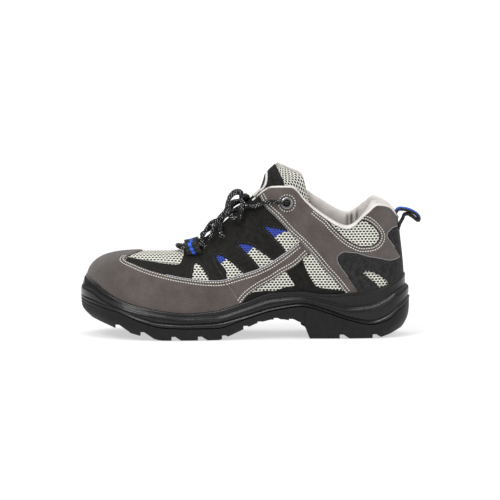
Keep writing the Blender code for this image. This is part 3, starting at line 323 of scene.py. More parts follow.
def even(points, spacing, surface):
    """Space a curve's points evenly along its real length."""
    points = np.asarray(points, float)
    real = surface(points[:, 0], points[:, 1])
    run = travelled(real)
    count = max(2, int(round(run[-1] / spacing)) + 1)
    at = np.linspace(0, run[-1], count)
    return np.stack([np.interp(at, run, points[:, k]) for k in (0, 1)], axis=1)


EDGE_SPACING = 0.0015
LOOP_SPACING = 0.0012
STEPS_A_POINT = 24


def smooth_line(points):
    return even(spline(points, STEPS_A_POINT * len(points)), EDGE_SPACING, upper)


def closed_loop(path, spacing=EDGE_SPACING):
    """Space a path evenly all the way round, back to its start."""
    return even(np.vstack([path, path[:1]]), spacing, upper)[:-1]


def smooth_loop(points):
    return closed_loop(spline(points, STEPS_A_POINT * len(points), closed=True), LOOP_SPACING)


def distinct(path, least=1e-7):
    """Drop the points of a path that repeat the one before."""
    return path[np.concatenate([[True], np.abs(np.diff(path, axis=0)).sum(axis=1) > least])]


def outline(*runs, surface=upper):
    """Closed loop of smooth runs that meet at corners."""
    pieces = []
    for run in runs:
        run = np.asarray(run, float)
        if len(run) > 2:
            pieces.append(spline(run, STEPS_A_POINT * len(run)))
        else:
            pieces.append(np.linspace(run[0], run[-1], STEPS_A_POINT))
    loop = np.vstack(pieces + [pieces[0][:1]])
    return even(distinct(loop, 1e-9), EDGE_SPACING, surface)[:-1]


def jacobian(surface, points, step=(0.25, 0.004)):
    u, v = points[:, 0], points[:, 1]
    low, high = np.maximum(v - step[1], 0.0), np.minimum(v + step[1], 1.0)
    du = (surface(u + step[0], v) - surface(u - step[0], v)) / (2 * step[0])
    dv = (surface(u, high) - surface(u, low)) / (high - low)[:, None]
    return du, dv


def shifted(points, distance, surface=upper, closed=False):
    """Curve moved sideways over a surface by a real distance, to the left of its run seen from outside."""
    points = np.asarray(points, float)
    du, dv = jacobian(surface, points)
    normal = unit(np.cross(du, dv))
    real = surface(points[:, 0], points[:, 1])
    if closed:
        along = np.roll(real, -1, axis=0) - np.roll(real, 1, axis=0)
    else:
        along = np.gradient(real, axis=0)
    left = np.cross(normal, unit(along))
    a, b, c = (du * du).sum(1), (du * dv).sum(1), (dv * dv).sum(1)
    p, q = (left * du).sum(1), (left * dv).sum(1)
    det = a * c - b * b
    move = np.stack([(c * p - b * q) / det, (a * q - b * p) / det], axis=1)
    moved = points + move * np.asarray(distance).reshape(-1, 1)
    moved[:, 1] = np.clip(moved[:, 1], 0.0, 1.0)
    return moved


def inside(points, loop):
    """Which points lie in a closed loop."""
    x, y = points[:, 0], points[:, 1]
    result = np.zeros(len(points), bool)
    a, b = loop, np.roll(loop, -1, axis=0)
    for (x1, y1), (x2, y2) in zip(a, b):
        crosses = (y1 > y) != (y2 > y)
        if y1 != y2:
            result ^= crosses & (x < (x2 - x1) * (y - y1) / (y2 - y1) + x1)
    return result


def signed_area(loop):
    x, y = loop[:, 0], loop[:, 1]
    return 0.5 * (x * np.roll(y, -1) - np.roll(x, -1) * y).sum()


# Building blocks
def grid_faces(rows, size, start=0, closed_row=True, closed_loft=False):
    """Four-cornered faces between rows of points that are numbered one after another."""
    faces = []
    for i in range(rows if closed_loft else rows - 1):
        a, b = start + i * size, start + ((i + 1) % rows) * size
        for j in range(size if closed_row else size - 1):
            k = (j + 1) % size
            faces.append((a + j, a + k, b + k, b + j))
    return faces


def turn_outward(mesh):
    shape = bmesh.new()
    shape.from_mesh(mesh)
    bmesh.ops.recalc_face_normals(shape, faces=shape.faces)
    shape.to_mesh(mesh)
    shape.free()


def around(count):
    return np.linspace(0, 2 * np.pi, count, endpoint=False)


def add_mesh(name, points, faces, finish, uv=None, smooth_angle=None):
    mesh = bpy.data.meshes.new(name)
    mesh.from_pydata([tuple(p) for p in points], [], [tuple(f) for f in faces])
    mesh.validate()
    mesh.shade_smooth()
    if smooth_angle is not None:
        mesh.set_sharp_from_angle(angle=math.radians(smooth_angle))
    if uv is not None:
        layer = mesh.uv_layers.new(name="weave")
        corners = np.empty(len(mesh.loops), dtype=np.int64)
        mesh.loops.foreach_get("vertex_index", corners)
        layer.data.foreach_set("uv", np.asarray(uv, float)[corners].ravel())
    mesh.materials.append(finish)
    thing = bpy.data.objects.new(name, mesh)
    bpy.context.scene.collection.objects.link(thing)
    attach(thing, "root")
    return thing


def lofted(name, rings, finish, closed_row=True, closed_loft=False, caps=False, uv=None,
           smooth_angle=None):
    """Skin over a (rings, points, 3) grid."""
    rings = np.asarray(rings, float)
    count, size = rings.shape[:2]
    faces = grid_faces(count, size, 0, closed_row, closed_loft)
    if caps:
        faces.append(tuple(range(size))[::-1])
        faces.append(tuple((count - 1) * size + j for j in range(size)))
    return add_mesh(name, rings.reshape(-1, 3), faces, finish, uv, smooth_angle)


def tube(name, path, radius, finish, sides=12):
    """Round tube along a path of points."""
    along = unit(np.gradient(path, axis=0))
    up = np.array((0.0, 0.0, 1.0)) if abs(along[0, 2]) < 0.9 else np.array((0.0, 1.0, 0.0))
    normals = []
    normal = unit(np.cross(np.cross(along[0], up), along[0]))
    for direction in along:
        normal = unit(normal - direction * (normal @ direction))
        normals.append(normal)
    normals = np.array(normals)
    across = np.cross(along, normals)
    turn = around(sides)
    rings = (path[:, None] + across[:, None] * (np.cos(turn)[None, :, None] * radius)
             - normals[:, None] * (np.sin(turn)[None, :, None] * radius))
    run = travelled(path)
    uv = np.stack([np.repeat(run, sides), np.tile(turn / (2 * np.pi), len(path))], axis=1)
    return lofted(name, rings, finish, caps=True, uv=uv)


def patch(name, loop, height, finish, holes=(), thickness=0.0012, surface=upper, raised=lift,
          spacing=(1.6, 0.035), weave=False, edge=0.0004, ratio=60.0):
    """Panel over a surface inside a loop, its edge rolled down, with openings."""
    loop = np.asarray(loop, float)
    if signed_area(loop) < 0:
        loop = loop[::-1]
    loops = [loop] + [h if signed_area(h) < 0 else h[::-1] for h in map(np.asarray, holes)]
    face_height = height + 0.0001
    levels = ((0.0, height - thickness), (0.0, height - 0.4 * thickness),
              (0.3 * edge, height - 0.12 * thickness), (edge, height), (3 * edge, face_height))
    params, heights, faces, inner = [], [], [], []
    start = 0
    for ring in loops:
        size = len(ring)
        for inset, level in levels:
            params.append(shifted(ring, inset, surface, closed=True) if inset else ring)
            heights.append(np.full(size, level))
        faces += grid_faces(len(levels), size, start)
        inner.append((start + (len(levels) - 1) * size, size, params[-1]))
        start += len(levels) * size
    low, high = loop.min(axis=0), loop.max(axis=0)
    ticks = [np.arange(low[k] + spacing[k] / 2, high[k], spacing[k]) for k in (0, 1)]
    grid = np.stack(np.meshgrid(*ticks), axis=-1).reshape(-1, 2)
    keep = inside(grid, shifted(loop, 5 * edge, surface, closed=True))
    for hole in loops[1:]:
        keep &= ~inside(grid, shifted(hole, 5 * edge, surface, closed=True))
    grid = grid[keep]
    flat_points = np.vstack([ring for _, _, ring in inner] + [grid])
    scale = np.array((1.0, ratio))
    edges, offset = [], 0
    for _, size, _ in inner:
        edges += [(offset + j, offset + (j + 1) % size) for j in range(size)]
        offset += size
    result = delaunay_2d_cdt([Vector(p) for p in flat_points * scale], edges, [], 1, 1e-7)
    corners, triangles, sources = result[0], result[2], result[3]
    lookup = []
    where = np.concatenate([np.arange(first, first + size) for first, size, _ in inner]
                           + [np.arange(start, start + len(grid))])
    params.append(grid)
    heights.append(np.full(len(grid), face_height))
    params, heights = np.vstack(params), np.concatenate(heights)
    extra = []
    for point, origins in zip(corners, sources):
        if origins:
            lookup.append(int(where[origins[0]]))
        else:
            lookup.append(len(params) + len(extra))
            extra.append((point.x / scale[0], point.y / scale[1]))
    if extra:
        params = np.vstack([params, extra])
        heights = np.concatenate([heights, np.full(len(extra), face_height)])
    middles = np.array([np.mean([corners[i][:] for i in face], axis=0) for face in triangles]) / scale
    cut = np.zeros(len(middles), bool)
    for _, _, ring in inner[1:]:
        cut |= inside(middles, ring)
    faces += [[lookup[i] for i in face] for face, gone in zip(triangles, cut) if not gone]
    points = raised(params[:, 0], params[:, 1], heights)
    uv = weave_uv(params[:, 0], params[:, 1]) if weave else None
    return add_mesh(name, points, faces, finish, uv)


def mirrored(points):
    """The same curve on the other side, run backwards so that its left stays the same edge's side."""
    points = np.asarray(points, float)
    return points[::-1] * np.array((-1.0, 1.0))


# Materials
def shade(name, colour, roughness, metallic=0.0, **more):
    made = bpy.data.materials.new(name)
    made.use_nodes = True
    shader = made.node_tree.nodes["Principled BSDF"]
    shader.inputs["Base Color"].default_value = (*colour, 1.0)
    shader.inputs["Roughness"].default_value = roughness
    shader.inputs["Metallic"].default_value = metallic
    for key, value in more.items():
        shader.inputs[key.replace("_", " ")].default_value = value
    return made, made.node_tree, shader


def node(tree, kind, **values):
    made = tree.nodes.new(kind)
    for key, value in values.items():
        if hasattr(made, key) and key not in made.inputs:
            setattr(made, key, value)
        else:
            made.inputs[key].default_value = value
    return made


def math_node(tree, operation, *values):
    made = tree.nodes.new("ShaderNodeMath")
    made.operation = operation
    for socket, value in zip(made.inputs, values):
        if isinstance(value, (int, float)):
            socket.default_value = value
        else:
            tree.links.new(value, socket)
    return made.outputs[0]


def place_in_object(tree, made):
    coords = tree.nodes.new("ShaderNodeTexCoord")
    tree.links.new(coords.outputs["Object"], made.inputs["Vector"])
    return made


def noise(tree, scale, detail, rough):
    made = node(tree, "ShaderNodeTexNoise", Scale=scale, Detail=detail, Roughness=rough)
    return place_in_object(tree, made).outputs["Fac"]


def weave_parts(tree):
    """The two coordinates of a piece's own weave."""
    where = tree.nodes.new("ShaderNodeUVMap")
    where.uv_map = "weave"
    parts = tree.nodes.new("ShaderNodeSeparateXYZ")
    tree.links.new(where.outputs["UV"], parts.inputs[0])
    return parts.outputs[0], parts.outputs[1]


def colour_by(tree, shader, source):
    tree.links.new(source, shader.inputs["Base Color"])


def mottled(tree, shader, base, grain, dark, light):
    """Colour that varies round its base: grain is a noise's scale, detail and roughness."""
    stops = [(dark[0], scaled(base, dark[1])), (light[0], scaled(base, light[1]))]
    colour_by(tree, shader, ramp(tree, noise(tree, *grain), stops))


def ramp(tree, factor, stops):
    made = tree.nodes.new("ShaderNodeValToRGB")
    band = made.color_ramp
    while len(band.elements) < len(stops):
        band.elements.new(0.5)
    for element, (place, colour) in zip(band.elements, stops):
        element.position = place
        element.color = (*colour, 1.0)
    tree.links.new(factor, made.inputs["Fac"])
    return made.outputs["Color"]


def mix(tree, factor, first, second, kind="MIX"):
    made = tree.nodes.new("ShaderNodeMix")
    made.data_type = "RGBA"
    made.blend_type = kind
    for index, value in ((0, factor), (6, first), (7, second)):
        if isinstance(value, (int, float)):
            made.inputs[index].default_value = value
        elif isinstance(value, tuple):
            made.inputs[index].default_value = (*value, 1.0)
        else:
            tree.links.new(value, made.inputs[index])
    return made.outputs[2]


def bump(tree, shader, *layers):
    """Chain bumps of (height, strength, distance)."""
    previous = None
    for height, strength, distance in layers:
        made = node(tree, "ShaderNodeBump", Strength=strength, Distance=distance)
        tree.links.new(height, made.inputs["Height"])
        if previous:
            tree.links.new(previous, made.inputs["Normal"])
        previous = made.outputs["Normal"]
    tree.links.new(previous, shader.inputs["Normal"])


def scaled(colour, factor):
    return tuple(channel * factor for channel in colour)


def nubuck_material():
    made, tree, shader = shade("nubuck", (0.105, 0.088, 0.079), 0.92, Specular_IOR_Level=0.25)
    base = (0.092, 0.077, 0.0715)
    blotch = ramp(tree, noise(tree, 55, 4, 0.6), [(0.30, scaled(base, 0.80)), (0.70, scaled(base, 1.22))])
    nap = ramp(tree, noise(tree, 1100, 3, 0.7), [(0.30, (0.72, 0.72, 0.72)), (0.75, (1.22, 1.22, 1.22))])
    colour_by(tree, shader, mix(tree, 1.0, blotch, nap, "MULTIPLY"))
    bump(tree, shader, (noise(tree, 1500, 3, 0.7), 0.55, 0.0002), (noise(tree, 160, 3, 0.5), 0.35, 0.0006))
    shader.inputs["Sheen Weight"].default_value = 0.25
    shader.inputs["Sheen Roughness"].default_value = 0.5
    return made


def synthetic_material(name, base, rough=0.62):
    made, tree, shader = shade(name, base, rough, Specular_IOR_Level=0.15)
    mottled(tree, shader, base, (260, 4, 0.7), (0.32, 0.45), (0.70, 2.0))
    grain = place_in_object(tree, node(tree, "ShaderNodeTexVoronoi", Scale=1300))
    bump(tree, shader, (grain.outputs["Distance"], 0.45, 0.0002), (noise(tree, 220, 3, 0.5), 0.45, 0.0006))
    return made


def mesh_material(name, thread, hole, pitch, gap):
    """Knitted mesh: threads round a brick pattern of dark holes."""
    made, tree, shader = shade(name, thread, 0.8, Specular_IOR_Level=0.3)
    along, round_foot = weave_parts(tree)
    count = partial(math_node, tree)
    row = count("DIVIDE", round_foot, pitch[1])
    odd = count("MULTIPLY", count("FLOORED_MODULO", count("FLOOR", row), 2.0), 0.5)
    column = count("ADD", count("DIVIDE", along, pitch[0]), odd)
    x = count("DIVIDE", count("SUBTRACT", count("FRACT", column), 0.5), gap[0])
    y = count("DIVIDE", count("SUBTRACT", count("FRACT", row), 0.5), gap[1])
    away = count("SQRT", count("ADD", count("MULTIPLY", x, x), count("MULTIPLY", y, y)))
    solid = tree.nodes.new("ShaderNodeMapRange")
    solid.interpolation_type = "SMOOTHSTEP"
    solid.inputs["From Min"].default_value = 0.72
    solid.inputs["From Max"].default_value = 1.12
    tree.links.new(away, solid.inputs["Value"])
    fibre = ramp(tree, noise(tree, 2200, 2, 0.6), [(0.25, scaled(thread, 0.72)), (0.7, scaled(thread, 1.08))])
    colour_by(tree, shader, mix(tree, solid.outputs[0], hole, fibre))
    rope = count("MINIMUM", away, 1.75)
    bump(tree, shader, (rope, 0.8, 0.0005), (noise(tree, 2600, 2, 0.6), 0.3, 0.0001))
    return made


def cloth_material(name, base, rough=0.95, weave=1500, wrinkle=0.4):
    made, tree, shader = shade(name, base, rough, Specular_IOR_Level=0.2)
    mottled(tree, shader, base, (90, 3, 0.6), (0.3, 0.88), (0.7, 1.06))
    bump(tree, shader, (noise(tree, weave, 2, 0.6), 0.5, 0.00015),
         (noise(tree, 140, 2, 0.5), wrinkle, 0.0008))
    shader.inputs["Sheen Weight"].default_value = 0.3
    return made


def rubber_material(name, base, rough, shine, grain):
    made, tree, shader = shade(name, base, rough, Specular_IOR_Level=shine)
    mottled(tree, shader, base, (150, 4, 0.7), (0.3, 0.6), (0.75, 1.9))
    gloss = tree.nodes.new("ShaderNodeMapRange")
    gloss.inputs["To Min"].default_value = rough - 0.08
    gloss.inputs["To Max"].default_value = rough + 0.1
    tree.links.new(noise(tree, 140, 4, 0.6), gloss.inputs["Value"])
    tree.links.new(gloss.outputs[0], shader.inputs["Roughness"])
    bump(tree, shader, (noise(tree, 1800, 2, 0.6), 0.18 * grain, 0.00012),
         (noise(tree, 180, 3, 0.5), 0.15 * grain, 0.0004))
    return made


BRAID_PITCH = 0.0030
PICKS_AROUND = 4.0


def lace_material(name, base, fleck, amount):
    """Braided cord: a helix of dark and pale picks, from the tube's own coordinates."""
    made, tree, shader = shade(name, base, 0.75, Specular_IOR_Level=0.25)
    along, round_cord = weave_parts(tree)
    count = partial(math_node, tree)
    run = count("DIVIDE", along, BRAID_PITCH)
    turn = count("MULTIPLY", round_cord, PICKS_AROUND)
    right = count("SINE", count("MULTIPLY", count("ADD", run, turn), 2 * math.pi))
    left = count("SINE", count("MULTIPLY", count("SUBTRACT", run, turn), 2 * math.pi))
    patchy = count("ADD", right, count("MULTIPLY", noise(tree, 260, 2, 0.5), 1.6))
    pick = count("MULTIPLY", count("GREATER_THAN", patchy, 1.85 - amount), count("GREATER_THAN", left, -0.1))
    colour_by(tree, shader, mix(tree, pick, base, fleck))
    bump(tree, shader, (count("MULTIPLY", right, left), 0.6, 0.0004))
    return made


def webbing_material(name, base):
    made, tree, shader = shade(name, base, 0.8, Specular_IOR_Level=0.35)
    wave = place_in_object(tree, node(tree, "ShaderNodeTexWave", Scale=900 / 6.3, Distortion=0.6, Detail=1.0))
    wave.bands_direction = "DIAGONAL"
    stops = [(0.2, scaled(base, 0.6)), (0.8, scaled(base, 1.5))]
    colour_by(tree, shader, ramp(tree, wave.outputs["Fac"], stops))
    bump(tree, shader, (wave.outputs["Fac"], 0.5, 0.0003))
    return made


NUBUCK = nubuck_material()
BLACK = synthetic_material("black_synthetic", (0.0075, 0.0070, 0.0064), 0.66)
COUNTER = synthetic_material("counter_synthetic", (0.0175, 0.0168, 0.0174), 0.60)
MESH = mesh_material("pale_mesh", (0.86, 0.86, 0.77), (0.024, 0.022, 0.018), (0.0032, 0.0023), (0.43, 0.41))
BLUE_MESH = mesh_material("blue_mesh", (0.045, 0.085, 0.50), (0.005, 0.006, 0.03), (0.0027, 0.0020),
                          (0.38, 0.36))
LINING = cloth_material("lining", (0.60, 0.565, 0.54))
BINDING = cloth_material("binding", (0.72, 0.69, 0.66), 0.9, 1700, 0.3)
FOOTBED = cloth_material("footbed", (0.045, 0.045, 0.047), 0.95)
TONGUE_FACE = synthetic_material("tongue_face", (0.0115, 0.0112, 0.0108), 0.72)
RUBBER = rubber_material("outsole_rubber", (0.0052, 0.0049, 0.0050), 0.50, 0.26, 1.5)
FOAM = rubber_material("midsole_foam", (0.0042, 0.0039, 0.0042), 0.25, 0.34, 0.25)
LACE = lace_material("lace_cord", (0.0075, 0.0075, 0.0075), (0.66, 0.66, 0.65), 0.12)
STITCH = cloth_material("pale_thread", (0.70, 0.68, 0.63), 0.7, 3000, 0.0)
# Near-black thread; the same finish makes the disc in the top eyelet's ring, which is painted shade of the
# hole.
DARK_THREAD_AND_SHADE = cloth_material("dark_thread_and_hole_shade", (0.003, 0.003, 0.003), 0.7, 3000, 0.0)
WEBBING = webbing_material("black_webbing", (0.017, 0.017, 0.018))
BLUE = webbing_material("blue_webbing", (0.03, 0.10, 0.55))
METAL = shade("dark_eyelet", (0.24, 0.24, 0.25), 0.20, 0.95)[0]
# Pale rolls on the panels' cut edges: partly the edges' own paler tone, partly painted highlight; the
# brighter one, on the strap's and guard's top edges, is mostly painted highlight.
EDGE_TONE_AND_HIGHLIGHT = cloth_material("edge_tone_and_highlight", (0.23, 0.235, 0.25), 0.8, 2500, 0.0)
BRIGHT_EDGE_AND_HIGHLIGHT = cloth_material("bright_edge_and_highlight", (0.55, 0.56, 0.60), 0.8, 2500, 0.0)


# Sole
def softened(profile, rounds=2):
    """Cut the corners of open profiles along their second axis."""
    for _ in range(rounds):
        a, b = profile[:, :-1], profile[:, 1:]
        cut = np.stack([0.75 * a + 0.25 * b, 0.25 * a + 0.75 * b], axis=2)
        cut = cut.reshape(len(profile), -1, profile.shape[2])
        profile = np.concatenate([profile[:, :1], cut, profile[:, -1:]], axis=1)
    return profile


HALF = np.concatenate([np.arange(0, 108, 1.5), np.arange(108, 118, 0.4), np.arange(118, 180.01, 1.5)])
HALF[-1] = 180.0
ROUND = np.concatenate([HALF, -HALF[-2:0:-1]])


def sole_profile(shape):
    """Inset and height at each place round the sole."""
    ones = np.ones_like(ROUND)
    return np.stack([np.stack([inset * ones, z * ones], axis=1) for inset, z in shape], axis=1)


def sole_rings(profile):
    return [sole_point(ROUND, profile[:, k, 0], profile[:, k, 1]) for k in range(profile.shape[1])]


TOE_SOFT = 0.8
TOE_SOFT_ANGLE = 42.0
MIDSOLE_SHARP = 60
OUTSOLE_SHARP = 32


def make_midsole():
    a = ROUND
    split, rand = line(1, SPLIT, a) + GAP, line(2, SPLIT, a)
    groove, lip = line(3, LIP, a), line(4, LIP, a)
    shape = [(0.0044, split), (0.0010, split + 0.0001), (0.0001, split + 0.0005),
             (-0.0002, (split + rand) / 2), (-0.0001, rand - 0.0013), (0.0006, rand - 0.0007),
             (0.0017, rand + 0.0003), (0.0017, rand + 0.0006), (0.0009, rand + 0.0012),
             (0.0007, rand * 0.6 + groove * 0.4), (0.0007, groove - 0.0024), (0.0009, groove - 0.0014),
             (0.0021, groove + 0.0001), (0.0034, groove + 0.0009), (0.0039, groove + 0.0017),
             (0.0040, groove * 0.5 + lip * 0.5), (0.0039, lip - 0.0022), (0.0041, lip - 0.0014),
             (0.0048, lip - 0.0004), (0.0060, lip + 0.0004)]
    profile = sole_profile(shape)
    toe = TOE_SOFT * np.exp(-(np.abs(a) / TOE_SOFT_ANGLE) ** 4)[:, None]
    up = np.clip((profile[:, :, 1] - rand[:, None]) / (lip - rand)[:, None], 0.0, 1.0)
    profile[:, :, 0] *= 1 - toe * (1 - up ** 2)
    profile = softened(profile)
    rings = sole_rings(profile)
    top = lip_rise(a)
    rings.append(lift(a, top, 0.0019) + np.array((0, 0, 0.0002)))
    rings.append(lift(a, top * 0.88, 0.0014))
    rings.append(lift(a, top * 0.6, 0.0010))
    piece = lofted("midsole_side", np.stack(rings), FOAM, smooth_angle=MIDSOLE_SHARP)
    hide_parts("midsole")


SOLE_TUCK = 0.008
# Ribs round the toe, as shares of the wall's height, and upright ones at the arch, along
TOE_RIBS = (0.40, 0.58, 0.76)
TOE_RIB_ANGLE = 26.0
ARCH_RIBS = (0.0405, 0.0455)
TREAD_DEPTH = 0.0038
TREAD_SWING = 0.005
TREAD_WIDTH = 0.0035
TREAD_FLARE = 0.011
# share along, depth, zigzag
TREAD = ((0.893, 0.9, 1.0), (0.817, 1.0, 1.0), (0.723, 1.0, 1.0), (0.643, 1.0, 1.0), (0.570, 1.0, 1.0),
         (0.505, 0.9, 0.5), (0.462, 0.4, 0.0), (0.413, 0.4, 0.0), (0.367, 0.4, 0.0), (0.213, 1.0, 0.6),
         (0.113, 1.0, 0.6))
TREAD_ACROSS = ((-0.60, 0.0), (-0.28, 0.0), (-0.14, 1.0), (0.0, -0.6), (0.14, 1.0), (0.28, 0.0), (0.60, 0.0))


def block(name, sections):
    """Closed cutter from a run of four-cornered sections."""
    count = len(sections)
    points = [p for section in sections for p in section]
    faces = grid_faces(count, 4) + [(3, 2, 1, 0), tuple((count - 1) * 4 + j for j in range(4))]
    mesh = bpy.data.meshes.new(name)
    mesh.from_pydata(points, [], faces)
    turn_outward(mesh)
    thing = bpy.data.objects.new(name, mesh)
    bpy.context.scene.collection.objects.link(thing)
    return thing


def make_outsole():
    a = ROUND
    tuck = SOLE_TUCK * smooth_column(LINES, 7, np.abs(a))
    low = sole_point(a, tuck, 0.0)
    low[:, 2] = ground(low[:, 0])
    split = line(1, SPLIT, a)
    wall = split - low[:, 2]
    shape = [(tuck, low[:, 2]), (tuck * 0.66, low[:, 2] + 0.0002), (tuck * 0.30, low[:, 2] + 0.24 * wall),
             (tuck * 0.12, low[:, 2] + 0.42 * wall), (0.0004, low[:, 2] + 0.66 * wall),
             (0.0003, split - 0.0012), (0.0003, split - 0.0004), (0.0012, split), (0.0034, split)]
    profile = softened(sole_profile(shape))
    toe = np.exp(-(np.abs(a) / TOE_RIB_ANGLE) ** 4)[:, None]
    share = (profile[:, :, 1] - low[:, 2:3]) / wall[:, None]
    for place in TOE_RIBS:
        profile[:, :, 0] += 0.0007 * toe * np.exp(-((share - place) / 0.035) ** 2)
    x = plan(a)[:, 0:1]
    side = np.clip((share - 0.04) / 0.05, 0, 1) * np.clip((0.985 - share) / 0.03, 0, 1)
    for place in ARCH_RIBS:
        profile[:, :, 0] += 0.0008 * side * np.exp(-((x - place) / 0.0007) ** 2)
    grid = np.stack(sole_rings(profile) + [sole_point(a, np.full_like(a, 0.0048), line(5, FLOOR, a))])
    count, size = grid.shape[:2]
    points = list(grid.reshape(-1, 3))
    faces = grid_faces(count, size)
    across = 10
    for level in (0, count - 1):
        rows = []
        for i in range(len(HALF)):
            first, last = level * size + i, level * size + (size - i) % size
            if first == last:
                rows.append([first] * (across + 1))
                continue
            row = [first]
            for k in range(1, across):
                t = k / across
                p = points[first] * (1 - t) + points[last] * t
                if level == 0:
                    p = np.array((p[0], p[1], ground(p[0])))
                row.append(len(points))
                points.append(p)
            rows.append(row + [last])
        for upper_row, lower_row in zip(rows, rows[1:]):
            for k in range(across):
                face = list(dict.fromkeys([upper_row[k], upper_row[k + 1], lower_row[k + 1], lower_row[k]]))
                if len(face) > 2:
                    faces.append(face if level else face[::-1])
    piece = add_mesh("outsole_lugs", points, faces, RUBBER)
    turn_outward(piece.data)
    cutters = []
    for number, (along, depth, zigzag) in enumerate(TREAD):
        x = LENGTH * along - BACK
        low = float(ground(x))
        top, under = low + depth * TREAD_DEPTH, low - TREAD_DEPTH
        sections = []
        for share, turn in TREAD_ACROSS:
            start = x + TREAD_SWING * zigzag * turn
            y = WIDTH * share
            end = start - TREAD_WIDTH
            sections.append([(start, y, top), (start, y, under), (end - TREAD_FLARE, y, under),
                             (end, y, top)])
        cutter = block(f"cut_{number}", sections)
        cut = piece.modifiers.new(cutter.name, "BOOLEAN")
        cut.solver = "MANIFOLD"
        cut.object = cutter
        cutters.append(cutter)
    graph = bpy.context.evaluated_depsgraph_get()
    mesh = bpy.data.meshes.new_from_object(piece.evaluated_get(graph))
    piece.modifiers.clear()
    piece.data = mesh
    mesh.shade_smooth()
    mesh.set_sharp_from_angle(angle=math.radians(OUTSOLE_SHARP))
    for cutter in cutters:
        bpy.data.objects.remove(cutter)
    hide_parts("outsole")


make_midsole()
make_outsole()


# Shell of the upper
def make_shell():
    angles = np.arange(-180.0, 180.01, 1.5)
    rises = np.linspace(0.0, 1.0, 49)
    a, r = np.meshgrid(angles, rises)
    outer = lift(a.ravel(), r.ravel(), 0.0).reshape(len(rises), len(angles), 3)
    uv = weave_uv(a.ravel(), r.ravel())
    shell = lofted("mesh_shell", outer, MESH, closed_row=False, uv=uv)
    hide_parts("upper")
    inner = lift(a.ravel(), r.ravel(), -WALL).reshape(len(rises), len(angles), 3)
    lofted("inner_lining", inner[::-1], LINING, closed_row=False)
    throat = np.abs(angles) >= RIDGE_ANGLE
    for mark, keep in (("inner", angles < 0), ("outer", angles > 0)):
        use = angles[throat & keep]
        rim = np.stack([lift(use, np.ones_like(use), h) for h in (0.0, -WALL)])
        lofted(f"throat_rim_{mark}", rim, BLACK, closed_row=False)


make_shell()

# Panel edges, on the outer side
GUARD_TOP = ((22.0, .93), (27.5, .870), (30.8, .79), (31.4, .67), (33.8, .578), (43.6, .531), (51.5, .496),
             (60.3, .472), (68.4, .456), (77.3, .431), (83.9, .401))
SEAM = ((83.9, .401), (84.6, .36), (86.3, .266), (88.6, .12))
STRAP_TOP = ((83.9, .401), (86.9, .398), (91.7, .391), (96.9, .389), (104.1, .417), (110.6, .514),
             (113.0, .56))
STRAP_LOW = ((117.0, .50), (114.4, .466), (109.6, .341), (102.7, .272), (95.7, .228), (91.5, .18),
             (89.0, .12))
SADDLE_FRONT = ((100.4, 1.0), (101.8, .972), (103, .829), (106.1, .689), (109.7, .567), (115.6, .49),
                (119.6, .389), (123.9, .265), (127.8, .12))
COLLAR_WINDOW = ((122.4, 1.0), (123.6, .985), (125.3, .945), (128.1, .881), (132.1, .773), (136.8, .649),
                 (143.1, .597), (147.9, .62), (149, .681), (144.4, .795), (140.2, .89), (137.2, .955),
                 (135.5, 1.0))
COUNTER_EDGE = ((133.8, .11), (129.2, .337), (126.2, .469), (125.6, .541), (126.6, .609), (129.1, .662),
                (133.3, .625), (139.7, .502), (150.7, .415), (159.6, .414), (169.2, .472))
PATCH_EDGE = ((169.2, .472), (161.1, .543), (155.5, .63), (155.6, .684), (160.7, .748), (170, .83),
              (180, .874))
VAMP_EDGE = ((31.4, .67), (45.1, .646), (56.1, .638), (65.1, .638), (68.1, .721), (70.4, .91), (70.2, .975))
# Windows in the black panels, their low ends under the grey ones, and the line that ends the blue cloth
WINDOWS = {
    "top": (((101.5, .696), (104, .646), (107.9, .612), (111.0, .565), (112.6, .515), (110.6, .455),
             (107.3, .425), (105.3, .50), (103.7, .564)), ((103.0, .575), (107.6, .617))),
    "third": (((91.1, .692), (94.9, .628), (98, .534), (101.2, .430), (101.8, .385), (97.6, .362),
               (96.6, .415), (94.1, .533), (91.7, .648)), ((92.6, .560), (96.6, .604))),
    "second": (((82, .690), (83.6, .688), (86, .603), (88.5, .498), (90.5, .409), (90.6, .372),
                (85.4, .368), (84.6, .410), (83, .527), (82, .637)), ((82.2, .575), (85.4, .618))),
    "first": (((74.0, .659), (75.7, .636), (77.2, .54), (78.4, .448), (78.5, .412), (71.9, .425),
               (72.2, .467), (73.2, .58)), None)}
STAY_WINDOWS = ("top", "third", "second")
COUNTER_WINDOW = ((136.4, .35), (139.2, .346), (143.8, .294), (149.6, .224), (153.9, .16), (152.0, .128),
                  (146.6, .138), (142.7, .202), (137.7, .303))


def run_at(rise, first, last, count=14):
    return [(a, rise) for a in np.linspace(first, last, count)]


BELOW_LIP = -0.0012
SEAM_END = 0.121


def sole_run(first, last, count):
    """Along the sole's lip, tucked a little below it."""
    angles = np.linspace(first, last, count)
    return np.stack([angles, lip_rise(angles, BELOW_LIP)], axis=1)


def other_side(points):
    """A curve carried past the heel on to the inner side, as angles over 180."""
    points = np.asarray(points, float)
    return np.stack([360.0 - points[::-1, 0], points[::-1, 1]], axis=1)


def both(name, make):
    """Make a panel on the outer side, and its mirror image on the inner one."""
    for side, word in ((1, "lateral"), (-1, "medial")):
        make(side, f"{name}_{word}")


def sided(points, side):
    points = np.asarray(points, float)
    return points if side > 0 else mirrored(points)


def to_lip(run, last_angle):
    """A run whose low end is carried down to the sole's lip."""
    run = [tuple(p) for p in run if p[1] > SEAM_END]
    return run + [(last_angle, float(lip_rise(np.array([last_angle]), BELOW_LIP)[0]))]


# Angles where the panels' ends meet the sole's lip
GUARD_END = 88.9
STRAP_END = 89.1
BAND_START = 89.6
SADDLE_END = 128.2
BAND_END = 129.0
COUNTER_END = 133.9

